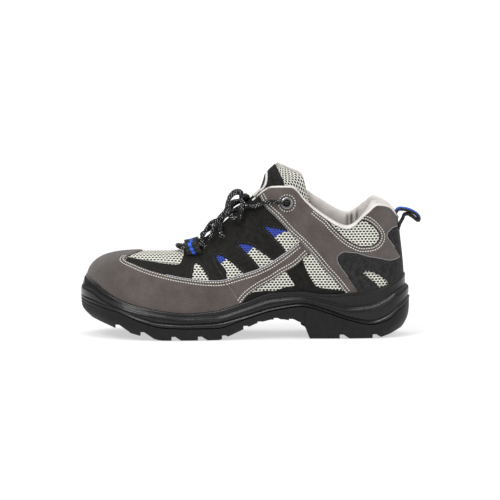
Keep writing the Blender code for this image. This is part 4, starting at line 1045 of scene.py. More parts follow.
# Heights of the panels' faces over the upper, and of stitches over a face
BLUE_HEIGHT = 0.00025
RIM_HEIGHT = 0.0005
VAMP_HEIGHT = 0.0006
BAND_HEIGHT = 0.0006
STAY_HEIGHT = 0.00085
STRAP_HEIGHT = 0.00095
GUARD_HEIGHT = 0.0011
QUARTER_HEIGHT = 0.0012
COUNTER_HEIGHT = 0.0016
STITCH_SEAT = 0.0001

GUARD_SEAM = to_lip(SEAM, GUARD_END)
STRAP_UNDER = to_lip(STRAP_LOW, STRAP_END)
SADDLE_EDGE = to_lip(SADDLE_FRONT, SADDLE_END)

guard = outline(GUARD_TOP, GUARD_SEAM, sole_run(GUARD_END, -GUARD_END, count=120), mirrored(GUARD_SEAM),
                mirrored(GUARD_TOP),
                [(-22.0, .93), (-15, .945), (-8, .952), (0, .955), (8, .952), (15, .945), (22.0, .93)])
piece = patch("toe_guard_panel", guard, GUARD_HEIGHT, NUBUCK, thickness=0.0013)
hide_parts("toe_guard")


STRAP_LOOP = outline(STRAP_TOP, [STRAP_TOP[-1], STRAP_UNDER[0]], STRAP_UNDER,
                     [STRAP_UNDER[-1], GUARD_SEAM[-1]], GUARD_SEAM[::-1])
SADDLE_LOOP = np.vstack([smooth_line(SADDLE_FRONT), [(135.0, .12), (135.0, 1.0)]])


def make_strap(side, name):
    panel = patch(name, sided(STRAP_LOOP, side), STRAP_HEIGHT, NUBUCK, thickness=0.0011)
    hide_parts("side_strap_lateral" if side > 0 else "side_strap_medial")


both("strap", make_strap)


def make_vamp(side, name):
    """Black piece along the toe guard, under the stay."""
    low = [(34.5, .545), (43.6, .485), (51.9, .455), (60.5, .43), (68.4, .40), (76.0, .375), (84.5, .36)]
    front = (32.2, .655)
    loop = outline([front] + list(VAMP_EDGE[1:]), [VAMP_EDGE[-1], (72, .996)], run_at(.996, 72, 80, 4),
                   [(80, .996), (82.5, .66), (84.8, .50), (84.5, .36)], low[::-1], [low[0], front])
    holes = [sided(smooth_loop(WINDOWS["first"][0]), side)]
    patch(name, sided(loop, side), VAMP_HEIGHT, BLACK, holes=holes, thickness=0.0008)


def make_stay(side, name):
    """Black eyestay over the vamp, with its windows."""
    front = [(77.9, .997), (78.6, .86), (80.2, .652), (81.8, .50), (82.8, .35)]
    low = [(82.8, .35), (88, .325), (96.9, .32), (104, .345), (110.6, .40), (114.8, .46)]
    back = [(114.8, .46), (112.9, .56), (110.4, .66), (107.6, .80), (105, .997)]
    loop = outline(front, low, back, run_at(.997, 105, 77.9, 20))
    holes = [sided(smooth_loop(WINDOWS[key][0]), side) for key in STAY_WINDOWS]
    panel = patch(name, sided(loop, side), STAY_HEIGHT, BLACK, holes=holes, thickness=0.0009)
    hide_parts("eyestay_lateral" if side > 0 else "eyestay_medial")


both("vamp", make_vamp)
both("stay", make_stay)


QUARTER_START = 100.4
QUARTER_TOP = .992
RIM_TOP = .99


def make_quarter():
    """Grey saddle and quarter in one, round the heel."""
    edge = [(QUARTER_START, QUARTER_TOP)] + SADDLE_EDGE[1:]
    low = sole_run(SADDLE_END, 360.0 - SADDLE_END, count=80)
    window = shifted(smooth_line(COLLAR_WINDOW), -0.0008)
    window[:, 1] = np.minimum(window[:, 1], QUARTER_TOP)
    top_front = run_at(QUARTER_TOP, QUARTER_START, window[0, 0], 24)
    top_back = run_at(QUARTER_TOP, window[-1, 0], 180, 30)
    path = [spline(edge, 400), low, spline(other_side(edge), 400)]
    path += [other_side(run)[::-1] for run in (top_front, window, top_back)]
    path += [top_back[::-1], window[::-1], top_front[::-1]]
    loop = closed_loop(distinct(np.vstack(path)))
    plain = smooth_loop(COUNTER_WINDOW)
    hole = shifted(plain, 0.0012, closed=True)
    hole = hole if abs(signed_area(hole)) > abs(signed_area(plain)) else plain
    panel = patch("quarter_panel", loop, QUARTER_HEIGHT, NUBUCK, holes=[hole, other_side(hole)])
    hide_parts("saddle_lateral", "saddle_medial", "collar_quarter")


make_quarter()


def make_rim(side, name):
    """Black edge between the quarter and the collar's mesh window."""
    window = smooth_line(COLLAR_WINDOW)
    window[:, 1] = np.minimum(window[:, 1], RIM_TOP)
    outer = shifted(window, -0.0030)
    outer[:, 1] = np.minimum(outer[:, 1], RIM_TOP)
    loop = closed_loop(np.vstack([window[::-1], outer]))
    patch(name, sided(loop, side), RIM_HEIGHT, BLACK, thickness=0.0006)


both("collar_rim", make_rim)

counter_run = np.vstack([spline(to_lip([], COUNTER_END) + list(COUNTER_EDGE[1:]), 500),
                         spline(PATCH_EDGE, 300)])
counter_path = np.vstack([counter_run, other_side(counter_run),
                          sole_run(360.0 - COUNTER_END, COUNTER_END, count=90)])
counter_window = smooth_loop(COUNTER_WINDOW)
piece = patch("counter_panel", closed_loop(distinct(counter_path)), COUNTER_HEIGHT, COUNTER,
              holes=[counter_window, other_side(counter_window)])
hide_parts("heel_counter", "heel_patch")


def make_waist_band(side, name):
    """Black band from the strap to the sole, and the strip along the sole there."""
    left = smooth_line([(104.8, .33), (105.7, .28), (107.2, .215), (108.2, .175)])
    right = smooth_line([(111.6, .39), (112.6, .31), (114.2, .24), (115.9, .178)])
    front = sole_run(BAND_START, BAND_END, count=34)
    strip = [(BAND_START, .140), (91.2, .185), (94.0, .196), (97.4, .184), (101.0, .160), (107.6, .172),
             (108.2, .175)]
    strip_back = [(115.9, .178), (117.0, .170), (122, .163), (BAND_END, .160)]
    path = np.vstack([strip, left[::-1], [(107.5, .40)], [(111.0, .44)], right, strip_back, front[::-1]])
    patch(name, sided(closed_loop(path), side), BAND_HEIGHT, BLACK, thickness=0.0008)


both("waist_band", make_waist_band)


def clipped(loop, first, second):
    """Part of a loop on the left of a line."""
    (x1, y1), (x2, y2) = first, second
    side = (x2 - x1) * (loop[:, 1] - y1) - (y2 - y1) * (loop[:, 0] - x1)
    kept = []
    for k in range(len(loop)):
        after = (k + 1) % len(loop)
        if side[k] >= 0:
            kept.append(loop[k])
        if side[k] * side[after] < 0:
            kept.append(loop[k] + (loop[after] - loop[k]) * side[k] / (side[k] - side[after]))
    return np.array(kept)


BLUE_OVERLAP = 0.0015


def make_blue(side, name):
    """Blue cloth behind the top of the stay's windows."""
    for key in STAY_WINDOWS:
        points, limit = WINDOWS[key]
        loop = smooth_loop(points)
        loop = shifted(loop, -BLUE_OVERLAP if signed_area(loop) > 0 else BLUE_OVERLAP, closed=True)
        loop = clipped(loop, *limit)
        loop = closed_loop(loop, LOOP_SPACING)
        patch(f"{name}_{key}", sided(loop, side), BLUE_HEIGHT, BLUE_MESH, thickness=0.0003,
              weave=True, edge=0.0002)


both("blue_window", make_blue)


# Stitching
PALE_PITCH = 0.0023
DARK_PITCH = 0.0021
STITCH_DETAIL = 0.0004
STITCH_TILT = 0.10
DOUBLE_ROW = (0.0016, 0.0043)
STITCH_SECTIONS = ((-0.5, 0.25, -0.7), (-0.42, 0.7, 0.1), (-0.2, 1.0, 0.75), (0.2, 1.0, 0.75),
                   (0.42, 0.7, 0.1), (0.5, 0.25, -0.7))
STITCH_SIDES = 6


def read_along(at, run, values):
    return np.stack([np.interp(at, run, values[:, k]) for k in range(3)], axis=1)


def stitch_frames(curve, height, pitch):
    """Middles, directions and normals of stitches along a curve on the upper."""
    dense = even(curve, STITCH_DETAIL, upper)
    real = lift(dense[:, 0], dense[:, 1], height)
    run = travelled(real)
    count = int(run[-1] / pitch)
    at = (np.arange(count) + 0.5) * run[-1] / max(count, 1)
    along = unit(read_along(at + pitch * 0.25, run, real) - read_along(at - pitch * 0.25, run, real))
    normal = unit(np.cross(*jacobian(upper, dense)))
    return read_along(at, run, real), along, unit(read_along(at, run, normal))


class Stitches:
    """Collects stitches and makes them one piece."""

    def __init__(self):
        self.points, self.faces = [], []

    def add(self, frames, length=0.00175, width=0.00095, thick=0.0006):
        turn = around(STITCH_SIDES)
        for middle, along, normal in zip(*frames):
            across = np.cross(normal, along)
            tilt = STITCH_TILT * (random.random() - 0.5)
            along = along + across * tilt
            self.faces += grid_faces(len(STITCH_SECTIONS), STITCH_SIDES, len(self.points))
            for place, size, rise in STITCH_SECTIONS:
                centre = middle + along * place * length + normal * (rise * thick * 0.5)
                for angle in turn:
                    self.points.append(centre + across * (math.cos(angle) * size * width / 2)
                                       + normal * (math.sin(angle) * size * thick / 2))

    def finish(self, name, finish, slot):
        return add_mesh(name, self.points, self.faces, finish)


def sew(side, name):
    pale, dark = Stitches(), Stitches()

    def sew_run(stitches, points, height, offsets, flip=False, **size):
        curve = smooth_line(points)
        curve = sided(curve[::-1] if flip else curve, side)
        for offset in offsets:
            frames = stitch_frames(shifted(curve, offset), height + STITCH_SEAT, PALE_PITCH)
            stitches.add(frames, **size)

    # Curves run so that their left is into the panel
    sew_run(pale, GUARD_TOP[3:], GUARD_HEIGHT, DOUBLE_ROW, flip=True)
    sew_run(pale, STRAP_TOP[:6], STRAP_HEIGHT, DOUBLE_ROW, flip=True)
    sew_run(pale, ((114.2, .461),) + STRAP_LOW[2:7], STRAP_HEIGHT, DOUBLE_ROW, flip=True)
    sew_run(pale, SADDLE_FRONT[1:], QUARTER_HEIGHT, DOUBLE_ROW)
    above_window = ((119.0, .996), (121.4, .992)) + COLLAR_WINDOW[1:-1]
    sew_run(pale, above_window, QUARTER_HEIGHT, (-0.0021, -0.0046))
    counter = ((133.6, .15),) + COUNTER_EDGE[1:-1] + ((166.5, .455),)
    for points, offset in ((counter, 0.0030), (PATCH_EDGE[1:], 0.0026)):
        sew_run(dark, points, COUNTER_HEIGHT, (offset,), flip=True, length=0.0019, width=0.0013)
    for key, (points, _) in WINDOWS.items():
        loop = smooth_loop(points)
        loop = loop if signed_area(loop) < 0 else loop[::-1]
        loop = shifted(loop, 0.0016, closed=True)
        hidden = inside(loop, guard) | inside(loop, STRAP_LOOP) | inside(loop, SADDLE_LOOP)
        first = int(np.argmax(hidden & ~np.roll(hidden, -1))) + 1
        loop = np.roll(loop, -first, axis=0)[:int((~hidden).sum())]
        height = STAY_HEIGHT if key in STAY_WINDOWS else VAMP_HEIGHT
        dark.add(stitch_frames(sided(loop, side), height + STITCH_SEAT, DARK_PITCH))
    pale.finish(f"pale_stitches_{name}", STITCH, "webbing")
    dark.finish(f"dark_stitches_{name}", DARK_THREAD_AND_SHADE, "webbing")


sew(1, "lateral")
sew(-1, "medial")


# Cut edges that show pale: their own paler tone and a painted highlight
def make_edges(side, name):
    """Thin rolls along the cut edges of the panels, pale with the edges' own tone and a painted highlight."""
    runs = (("strap", STRAP_TOP[:6], 0.0010, 0.00033, BRIGHT_EDGE_AND_HIGHLIGHT),
            ("guard", GUARD_TOP[7:], 0.0010, 0.0003, BRIGHT_EDGE_AND_HIGHLIGHT),
            ("saddle", SADDLE_FRONT[1:-1], 0.0009, 0.0003, EDGE_TONE_AND_HIGHLIGHT),
            ("seam", GUARD_SEAM, 0.0011, 0.00022, EDGE_TONE_AND_HIGHLIGHT),
            ("counter", COUNTER_EDGE[1:], 0.0013, 0.0004, EDGE_TONE_AND_HIGHLIGHT),
            ("patch", PATCH_EDGE[1:], 0.0013, 0.0004, EDGE_TONE_AND_HIGHLIGHT))
    for mark, points, height, radius, finish in runs:
        angle, rise = sided(smooth_line(points), side).T
        tube(f"{name}_{mark}", lift(angle, rise, height), radius, finish, sides=6)


both("edge", make_edges)


# Collar: padded lining and binding
def top_frame(angle):
    """Top edge of the upper: its points, the way up along the rib, and outward."""
    angle = np.asarray(angle, float)
    top = upper(angle, np.ones_like(angle))
    up = unit(top - upper(angle, np.full_like(angle, 0.97)))
    return top, up, upper_normal(angle, np.full_like(angle, 0.96))


COLLAR_START = 104.0
CREASES = ((360 - 130.6, 0.5, 0.0050), (360 - 132.4, 0.6, 0.0070), (360 - 135.2, 0.6, 0.0052),
           (128.0, 1.6, 0.0012), (132.0, 1.3, 0.0008))
PAD_SECTION = ((0.96, 0.99), (0.91, 1.04), (0.86, 1.03), (0.80, 0.95), (0.74, 0.80), (0.68, 0.58),
               (0.62, 0.34), (0.56, 0.16), (0.50, 0.06), (0.36, 0.02), (0.2, 0.0), (0.06, 0.0))
PAD_LEAST = 0.0028
PAD_DEPTH = 0.0070


def make_collar():
    half = np.concatenate([np.arange(COLLAR_START, 127.0, 1.0), np.arange(127.0, 139.0, 0.4),
                           np.arange(139.0, 180.01, 1.0)])
    angles = np.concatenate([half, 360.0 - half[-2::-1]])
    place = np.abs(wrap(angles))
    full = np.clip(0.3 + (place - 111.0) / 16.0, 0.0, 1.0)
    top, up, normal = top_frame(angles)
    rings = []
    for above, out in ((-0.0012, -0.0004), (0.0012, -0.0006), (0.0030, -0.0022)):
        rings.append(top + up * above * (0.5 + 0.5 * full[:, None]) + normal * out)
    upright = np.array((0.0, 0.0, 1.0))
    rise = np.where(angles > 180.0, 0.95, 0.14 + 0.86 * np.clip((place - 134.0) / 14.0, 0.0, 1.0))
    for share, above in ((0.30, 0.0046), (0.62, 0.0042), (0.86, 0.0018)):
        crown = upright * (above * full * rise)[:, None]
        rings.append(top + crown - normal * (PAD_LEAST + PAD_DEPTH * share * full[:, None]))
    crease = sum(depth * np.exp(-((angles - centre) / spread) ** 2) for centre, spread, depth in CREASES)
    for rise, share in PAD_SECTION:
        depth = PAD_LEAST + 0.0001 + PAD_DEPTH * share * full - crease * min(1.0, share * 1.2)
        rings.append(lift(angles, rise, -depth))
    piece = lofted("collar_padding", rings[::-1], LINING, closed_row=False)
    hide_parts("collar_pad")
    sub = piece.modifiers.new("round", "SUBSURF")
    sub.levels = sub.render_levels = 1


make_collar()


def make_binding():
    half = np.concatenate([np.arange(99.6, COLLAR_START, 0.4), np.arange(COLLAR_START, 180.01, 1.0)])
    angles = np.concatenate([half, 360.0 - half[-2::-1]])
    top, up, normal = top_frame(angles)
    place = np.abs(wrap(angles))
    proud = 0.0013 + 0.0004 * np.clip((place - 105) / 10, 0, 1)
    shape = ((-0.0015, 0.2), (-0.0014, 0.75), (-0.0010, 1.0), (-0.0004, 1.05), (0.0001, 0.95), (0.0007, 0.5),
             (0.0009, -0.2), (0.0007, -1.1), (0.0001, -1.8), (-0.0010, -2.2), (-0.0024, -2.3))
    ripple = 1 + 0.05 * np.sin(angles * 2.6) + 0.04 * np.sin(angles * 5.1 + 1.0)
    rings = [top + up * above + normal * (proud * ripple * share)[:, None] for above, share in shape]
    lofted("collar_binding", np.stack(rings)[::-1], BINDING, closed_row=False)


make_binding()


# Tongue
UNDER_ANGLES = np.array((62, 68, 74, 80, 86, 92, 97, 101), float)
UNDER_RISES = (0.76, 0.83, 0.90)
TOP_ROWS = ((0.300, 0.28, 0.760), (0.312, 0.30, 0.830), (0.328, 0.31, 0.930), (0.429, 0.29, 1.030))


def tongue_grid():
    """Rows of the tongue's outer face from the vamp to its top, as the CAD's."""
    depth = -(WALL + GAP + 0.0010)
    rows = []
    steps = np.linspace(0, 1, 7)[:, None]
    for angle in UNDER_ANGLES:
        wings, ways = {}, {}
        for side in (1, -1):
            wings[side] = np.array([lift(side * angle, rise, depth) for rise in UNDER_RISES])
            ways[side] = unit(wings[side][-1] - lift(side * angle, UNDER_RISES[-1] - 0.04, depth))
        span = np.linalg.norm(wings[-1][-1] - wings[1][-1]) * 0.34
        handles = [wings[side][-1] + ways[side] * span for side in (1, -1)]
        arch = bezier((wings[1][-1], *handles, wings[-1][-1]), steps)
        rows.append(np.vstack([wings[1][:-1], arch, wings[-1][-2::-1]]))
    halves = {side: [np.array((LENGTH * a - BACK, side * THROAT * o, TONGUE * h)) for a, o, h in TOP_ROWS]
              for side in (1, -1)}
    arch = bezier((halves[1][-2], halves[1][-1], halves[-1][-1], halves[-1][-2]), steps)
    top = np.vstack([halves[1][:2], arch, halves[-1][:2][::-1]])
    for step in (1, 2, 3):
        rows.append(rows[7] + (top - rows[7]) * step / 3)
    return np.array(rows)


TONGUE_ROWS = tongue_grid()
TONGUE_BULGE = np.array((0.0018, 0.0, 0.0026))
TONGUE_ROLL = np.array((-0.0030, 0.0, 0.0065))
TONGUE_CLOSES = 0.90
TONGUE_CLOSING = 0.10


def catmull_grid(grid, u, v):
    """Read a grid of points smoothly at fractional row u and column v."""
    def along(rows, at):
        count = rows.shape[0]
        at = np.clip(at, 0, count - 1)
        i = np.minimum(at.astype(int), count - 2)
        t = (at - i)[:, None]
        ext = np.concatenate([2 * rows[:1] - rows[1:2], rows, 2 * rows[-1:] - rows[-2:-1]])
        k = np.arange(len(at))
        return catmull_rom((ext[i, k], ext[i + 1, k], ext[i + 2, k], ext[i + 3, k]), t)

    columns = np.stack([along(np.repeat(row[:, None], len(v), axis=1), v) for row in grid])
    return along(columns, u)


def tongue(across, up):
    """Outer face of the tongue: across from 0 on the outer side to 1, up from 0 at the vamp to 1."""
    across, up = np.broadcast_arrays(np.asarray(across, float), np.asarray(up, float))
    shape = across.shape
    points = catmull_grid(TONGUE_ROWS, up.ravel() * (len(TONGUE_ROWS) - 1),
                          across.ravel() * (TONGUE_ROWS.shape[1] - 1))
    full = np.sin(np.pi * np.clip(across.ravel(), 0, 1)) * np.exp(-((up.ravel() - 0.88) / 0.07) ** 2)
    points = points + full[:, None] * TONGUE_BULGE
    return points.reshape(*shape, 3)


def tongue_normal(across, up):
    du = tongue(np.clip(across + 0.01, 0, 1), up) - tongue(np.clip(across - 0.01, 0, 1), up)
    dv = tongue(across, np.clip(up + 0.01, 0, 1)) - tongue(across, np.clip(up - 0.01, 0, 1))
    return unit(np.cross(dv, du))


def tongue_lift(across, up, height):
    return tongue(across, up) + tongue_normal(across, up) * np.asarray(height, float)[..., None]


def make_tongue():
    columns = 60
    up = np.concatenate([np.linspace(0.0, TONGUE_CLOSES, 70),
                         TONGUE_CLOSES + TONGUE_CLOSING * np.sin(np.linspace(0, np.pi / 2, 12))[1:]])
    across = 0.5 - 0.5 * np.cos(np.linspace(0, np.pi, columns))
    a, u = np.meshgrid(across, up)
    a, u = a.ravel(), u.ravel()
    outer = tongue(a, u)
    normal = tongue_normal(a, u)
    middle = np.sin(np.pi * a) ** 0.5
    full = (0.0028 + 0.0040 * middle) * np.sqrt(np.clip(1 - np.abs(2 * a - 1) ** 8, 0, 1))
    fade = np.sqrt(np.clip(1 - (np.clip(u - TONGUE_CLOSES, 0, 1) / TONGUE_CLOSING) ** 2, 0.0, 1))
    full = full * fade
    puff = 0.0012 * np.clip((u - 0.66) / 0.2, 0, 1)
    front = outer + normal * (-0.5 * (0.0050 - np.clip(full, 0, 0.0050)) * 0.4)[:, None]
    back = outer - normal * (full + puff * middle)[:, None]
    roll = np.exp(-((u - 0.955) / 0.055) ** 2) * fade
    back = back + (middle * roll)[:, None] * TONGUE_ROLL
    shape = (len(up), columns, 3)
    front, back = front.reshape(shape), back.reshape(shape)
    rings = np.concatenate([front, back[:, ::-1]], axis=1)
    scale = np.stack([(a - 0.5) * 0.120, u * 0.190], axis=1).reshape(len(up), columns, 2)
    uv = np.concatenate([scale, scale[:, ::-1] + 0.0007], axis=1).reshape(-1, 2)
    piece = lofted("tongue_padding", rings, MESH, uv=uv)
    piece.data.materials.append(LINING)
    for polygon in piece.data.polygons:
        if polygon.index % (2 * columns) >= columns - 1:
            polygon.material_index = 1
    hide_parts("tongue")


make_tongue()


def tongue_surface(u, v):
    return tongue(1.0 - np.asarray(u), v)


def tongue_raised(u, v, height):
    return tongue_lift(1.0 - np.asarray(u), v, np.asarray(height))


def badge(width, height):
    """Oval on the tongue's face, in shares across and up."""
    turn = around(48)
    return np.stack([0.5 + width * np.cos(turn), 0.80 + height * np.sin(turn)], axis=1)


face_edge = [(0.03, 0.30), (0.03, 0.62), (0.05, 0.72), (0.10, 0.80), (0.20, 0.88), (0.36, 0.955),
             (0.5, 0.978), (0.64, 0.955), (0.80, 0.88), (0.90, 0.80), (0.95, 0.72), (0.97, 0.62),
             (0.97, 0.30)]
face_loop = outline(face_edge, [(0.97, 0.30), (0.03, 0.30)], surface=tongue_surface)
badge_spacing = (0.02, 0.012)
for mark, loop, height, finish, slot, thickness, spacing in (
        ("face_panel", face_loop, 0.0006, TONGUE_FACE, "tongue_cloth", 0.0007, (0.03, 0.025)),
        ("badge_rim", badge(0.135, 0.085), 0.0014, BINDING, "lining", 0.0009, badge_spacing),
        ("badge_field", badge(0.10, 0.062), 0.0017, COUNTER, "synthetic", 0.0006, badge_spacing)):
    patch(f"tongue_{mark}", loop, height, finish, thickness=thickness, surface=tongue_surface,
          raised=tongue_raised, spacing=spacing, ratio=1.0)

# Insole
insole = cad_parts["insole"]
insole.data.materials.clear()
insole.data.materials.append(FOOTBED)


# Laces
def catmull(points, steps):
    return spline(points, steps * (len(points) - 1) + 1)


def lace_tube(name, points):
    return tube(name, catmull(points, 8), LACE_DIAMETER / 2, LACE)


LACE_DIAMETER = 0.0037
END_DIAMETER = 0.0030
WEBBING_BASE = 0.0012 + 0.0012 + GAP
LACE_LIFT = WEBBING_BASE + LACE_DIAMETER / 2 + 0.0003
# angle, rise, angle at the throat's edge, whether it is an eyelet
LACE_ROWS = ((79.0, 0.890, 80.0, 0), (86.5, 0.880, 87.5, 0), (108.5, 0.846, 96.7, 1))


def lace_half(side, row):
    angle, rise, edge, rings = row
    seat = LACE_LIFT + rings * 0.0018
    return [lift(side * angle, rise, seat),
            lift(side * (angle + edge) / 2, (rise + 1) / 2, seat + rings * 0.0003),
            lift(side * edge, 0.995, LACE_LIFT)]


def into_hole(side, row):
    """The lace's end where it comes up out of its hole."""
    angle, rise = row[:2]
    return [lift(side * (angle + 0.2), rise - 0.012, -0.0015),
            lift(side * (angle + 0.05), rise - 0.006, 0.0012)]


crossings = []
for low, high in zip(LACE_ROWS, LACE_ROWS[1:]):
    for side in (1, -1):
        first, last = lace_half(side, low), lace_half(-side, high)
        if high[3]:
            last = [lift(-side * a, r, h) for a, r, h in
                    ((108.3, .846, .0062), (106.4, .850, .0054), (103.4, .872, LACE_LIFT + .0005),
                     (100.6, .900, LACE_LIFT), (98.4, .940, LACE_LIFT), (97.0, .985, LACE_LIFT))]
        middle = (first[-1] + last[-1]) / 2 + np.array((0.0, 0.0, 0.003 + side * 0.0022))
        first[0] = lift(side * low[0], low[1], LACE_LIFT - 0.0008)
        crossings.append(into_hole(side, low) + first + [middle] + last[::-1] + into_hole(-side, high)[::-1])
for number, path in enumerate(crossings):
    made = lace_tube(f"lace_crossing_{number}", path)
    if number == 0:
        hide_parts("lace_crossings")
bar_half = ((79.0, .89), (75.0, .89), (70.5, .89), (67.0, .94))
bar_route = bar_half + ((65.5, 1.0),) + tuple((-a, r) for a, r in bar_half[::-1])
lace_tube("lace_bar", [lift(a, r, LACE_LIFT - 0.0006) for a, r in bar_route])

# Routes in millimetres
KNOT = ((98.4, -6.5, 124.8), (99.4, -2.5, 126.0), (100.2, 1.5, 126.4), (100.2, 5.0, 125.8),
        (99.4, 8.0, 125.0))
BOW_LATERAL = ((103.0, 10.0, 129.2), (105.5, 15.0, 131.0), (109.5, 20.0, 131.0), (113.5, 24.0, 128.0),
               (116.0, 27.0, 123.0), (116.4, 29.5, 117.0), (114.0, 31.5, 112.0), (109.8, 32.6, 109.6),
               (105.6, 32.2, 111.2), (103.2, 30.6, 115.6), (102.6, 27.6, 120.4), (103.0, 22.6, 124.2),
               (104.0, 15.5, 125.8))
BOW_MEDIAL = ((103.2, -8.0, 129.0), (105.5, -13.0, 130.2), (109.0, -18.0, 129.4), (112.4, -22.5, 126.4),
              (114.8, -26.5, 121.8), (115.2, -29.6, 116.4), (113.0, -31.8, 111.8), (109.0, -32.6, 109.6),
              (105.2, -32.0, 111.4), (103.0, -30.6, 115.6), (102.6, -27.4, 120.4), (103.0, -22.2, 123.8),
              (103.8, -14.5, 125.0))
END_LATERAL = ((104.8, 5.0, 123.0), (108.0, 9.0, 122.4), (112.0, 13.6, 120.4), (116.0, 17.0, 117.0),
               (120.0, 18.8, 113.0), (124.0, 20.4, 108.8), (128.0, 22.2, 102.0), (130.6, 23.6, 95.0),
               (132.0, 24.2, 88.9))
END_MEDIAL = ((104.4, -3.0, 122.4), (108.0, -8.0, 121.8), (112.0, -13.2, 120.2), (115.4, -18.2, 116.4),
              (118.4, -23.2, 111.0), (121.2, -27.6, 104.8), (124.2, -31.0, 98.0), (127.4, -33.6, 90.8),
              (130.4, -35.6, 84.0))


def length_of(path):
    return float(np.linalg.norm(np.diff(path, axis=0), axis=1).sum())


def free_lace(name, points, diameter, node_name):
    path = catmull(np.array(points) / 1000, 6)
    piece = tube(name, path, diameter / 2, LACE)
    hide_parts(node_name)


knot = tube("knot_core", catmull(np.array(KNOT) / 1000, 6), 0.0030, LACE, sides=14)
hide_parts("lace_knot")
free_lace("bow_lateral", BOW_LATERAL, LACE_DIAMETER, "lace_bow_lateral")
free_lace("bow_medial", BOW_MEDIAL, LACE_DIAMETER, "lace_bow_medial")
free_lace("end_lateral", END_LATERAL, END_DIAMETER, "lace_end_lateral")
free_lace("end_medial", END_MEDIAL, END_DIAMETER, "lace_end_medial")


# Eyelets, webbing and pull loop
EYELET_RADIUS = 0.0041
EYELET_WIRE = 0.0016
EYELET_FLAT = 0.55


def make_eyelet(side, name):
    angle, rise = side * LACE_ROWS[-1][0], LACE_ROWS[-1][1]
    centre = lift(angle, rise, 0.0012 + 0.0007)
    normal = upper_normal(np.array(angle), np.array(rise))
    across = unit(np.cross(normal, (0.0, 0.0, 1.0)))
    up = np.cross(across, normal)

    def spokes(count):
        turn = around(count)[:, None]
        return across * np.cos(turn) + up * np.sin(turn)

    wire = around(12)[:, None]
    rings = [centre + spoke * (EYELET_RADIUS + EYELET_WIRE * np.cos(wire))
             + normal * (EYELET_WIRE * EYELET_FLAT * np.sin(wire)) for spoke in spokes(40)]
    ring = lofted(name, rings, METAL, closed_loft=True)
    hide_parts("eyelet_lateral" if side > 0 else "eyelet_medial")
    # Near-black disc inside the eyelet's ring: painted shade of the hole, which is not cut through.
    hole = centre - normal * 0.0006 + spokes(32) * 0.0040
    add_mesh(name + "_hole_shade", hole, [tuple(range(32))], DARK_THREAD_AND_SHADE)
    turn = around(20)[:, None]
    middle = centre - normal * 0.00065 + spokes(20) * 0.0076
    along = up * np.cos(turn) - across * np.sin(turn)
    dots = Stitches()
    dots.add((middle, along, np.repeat(normal[None], 20, axis=0)), length=0.0014)
    dots.finish(name + "_stitches", STITCH, "webbing")


both("top_eyelet", make_eyelet)


def make_webbing(side, name):
    """Webbing loop that the lace's first bar passes under."""
    shares = np.linspace(0, 1, 15)
    arch = WEBBING_BASE * np.sin(np.pi * shares) ** 0.5 + 0.0044 * np.sin(np.pi * shares) ** 1.2
    for first, last, finish, mark in ((71.6, 74.2, WEBBING, "a"), (74.2, 75.6, BLUE, "b"),
                                      (75.6, 77.8, WEBBING, "c")):
        rings = [lift(side * a, 0.79 + 0.150 * shares, 0.0006 + arch + 0.0010)
                 for a in np.linspace(first, last, 4)]
        piece = lofted(f"{name}_{mark}", rings[::side], finish, closed_row=False)
        thick = piece.modifiers.new("thick", "SOLIDIFY")
        thick.thickness = 0.0013
        thick.offset = -1.0
        if mark == "a":
            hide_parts("lace_webbing_lateral" if side > 0 else "lace_webbing_medial")


both("webbing_loop", make_webbing)

# Route of the pull loop, along and up in millimetres
PULL = ((-43.8, 106.5), (-45.0, 109.6), (-48.0, 110.6), (-51.4, 109.0), (-54.8, 106.5), (-57.0, 104.9),
        (-58.6, 105.2), (-58.0, 108.0), (-54.8, 111.0), (-49.6, 113.7), (-43.8, 114.9), (-39.2, 114.3))


def make_pull():
    heel = [lift(180.0, np.array(r), h) for r, h in ((0.84, 0.0003), (0.875, 0.0017), (0.91, 0.0027))]
    path = catmull(heel + [np.array((x, 0.0, z)) / 1000 for x, z in PULL]
                   + [upper(180.0, 1.0) + np.array((0.0025, 0.0, 0.0005))], 6)
    along = unit(np.gradient(path, axis=0))
    out = unit(np.cross(along, (0.0, 1.0, 0.0)))
    run = travelled(path) / length_of(path)
    across = np.linspace(-1, 1, 9)
    for name, finish, low, high, shift in (("pull_loop_band", WEBBING, 0.0, 1.0, 0.0),
                                           ("pull_loop_top", BLUE, 0.50, 1.0, 1.0)):
        use = (run >= low) & (run <= high)
        half, width = (0.0014, 0.0075) if shift == 0 else (0.0004, 0.0058)
        base = path[use] + out[use] * shift * 0.00135
        rings = [base + sign * out[use] * (1 - abs(k) ** 6) ** 0.5 * half + np.array((0.0, k * width, 0.0))
                 for sign, shares in ((1, across), (-1, across[::-1][1:-1])) for k in shares]
        piece = lofted(name, np.stack(rings).transpose(1, 0, 2), finish, caps=True)
        if shift == 0:
            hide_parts("pull_loop")


make_pull()


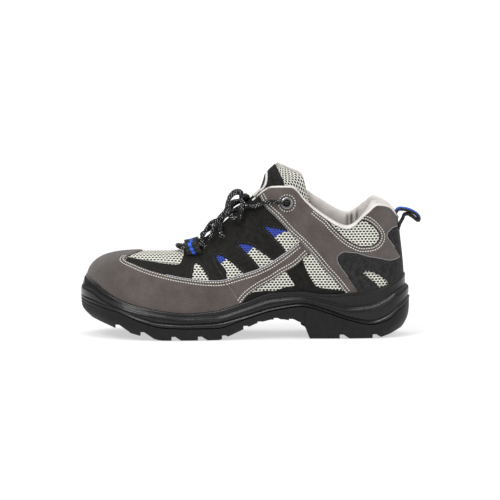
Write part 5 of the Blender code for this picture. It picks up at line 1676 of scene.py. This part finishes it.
# Stage
SUNS = (("key", (0.9, 1.3, 1.5), 24.0, 1.18), ("fill", (-0.9, 1.3, 0.8), 40.0, 0.55),
        ("top", (0.2, 0.1, 1.5), 18.0, 0.66))
CAMERA_DISTANCE = 9.0
CAMERA_RISE = math.radians(6.0)
CAMERA_AIM = Vector((0.09555, 0.045, 0.08195))
SENSOR = 36.0
VIEW_WIDTH = 0.454


def make_stage():
    bpy.ops.mesh.primitive_plane_add(size=60.0, location=(0.1, -20.0, -0.0002))
    floor = bpy.context.object
    floor.name = "floor"
    made, _, shader = shade("floor_white", (0.46, 0.46, 0.46), 0.9, Specular_IOR_Level=0.1)
    shader.inputs["Emission Color"].default_value = (1.0, 1.0, 1.0, 1.0)
    shader.inputs["Emission Strength"].default_value = 0.56
    floor.data.materials.append(made)
    world = bpy.data.worlds.new("studio")
    bpy.context.scene.world = world
    world.use_nodes = True
    sky = world.node_tree
    coords = sky.nodes.new("ShaderNodeTexCoord")
    parts = sky.nodes.new("ShaderNodeSeparateXYZ")
    sky.links.new(coords.outputs["Generated"], parts.inputs[0])
    band = ramp(sky, parts.outputs[2], [(0.05, (0.12, 0.12, 0.12)), (0.65, (1.0, 1.0, 1.0))])
    sky.links.new(band, sky.nodes["Background"].inputs["Color"])
    sky.nodes["Background"].inputs["Strength"].default_value = 0.85
    target = Vector((0.1, 0.0, 0.06))
    for name, place, spread, power in SUNS:
        data = bpy.data.lights.new(name, "SUN")
        data.angle = math.radians(spread)
        data.energy = power
        lamp = bpy.data.objects.new(name, data)
        lamp.location = place
        lamp.rotation_euler = (target - Vector(place)).to_track_quat("-Z", "Y").to_euler()
        bpy.context.scene.collection.objects.link(lamp)
    camera_data = bpy.data.cameras.new("camera")
    camera = bpy.data.objects.new("camera", camera_data)
    bpy.context.scene.collection.objects.link(camera)
    away = Vector((0.0, math.cos(CAMERA_RISE), math.sin(CAMERA_RISE)))
    camera.location = CAMERA_AIM + away * CAMERA_DISTANCE
    camera.rotation_euler = (CAMERA_AIM - camera.location).to_track_quat("-Z", "Y").to_euler()
    camera_data.sensor_width = SENSOR
    camera_data.lens = SENSOR * CAMERA_DISTANCE / VIEW_WIDTH
    bpy.context.scene.camera = camera
    bpy.context.scene.view_settings.view_transform = "Standard"


make_stage()
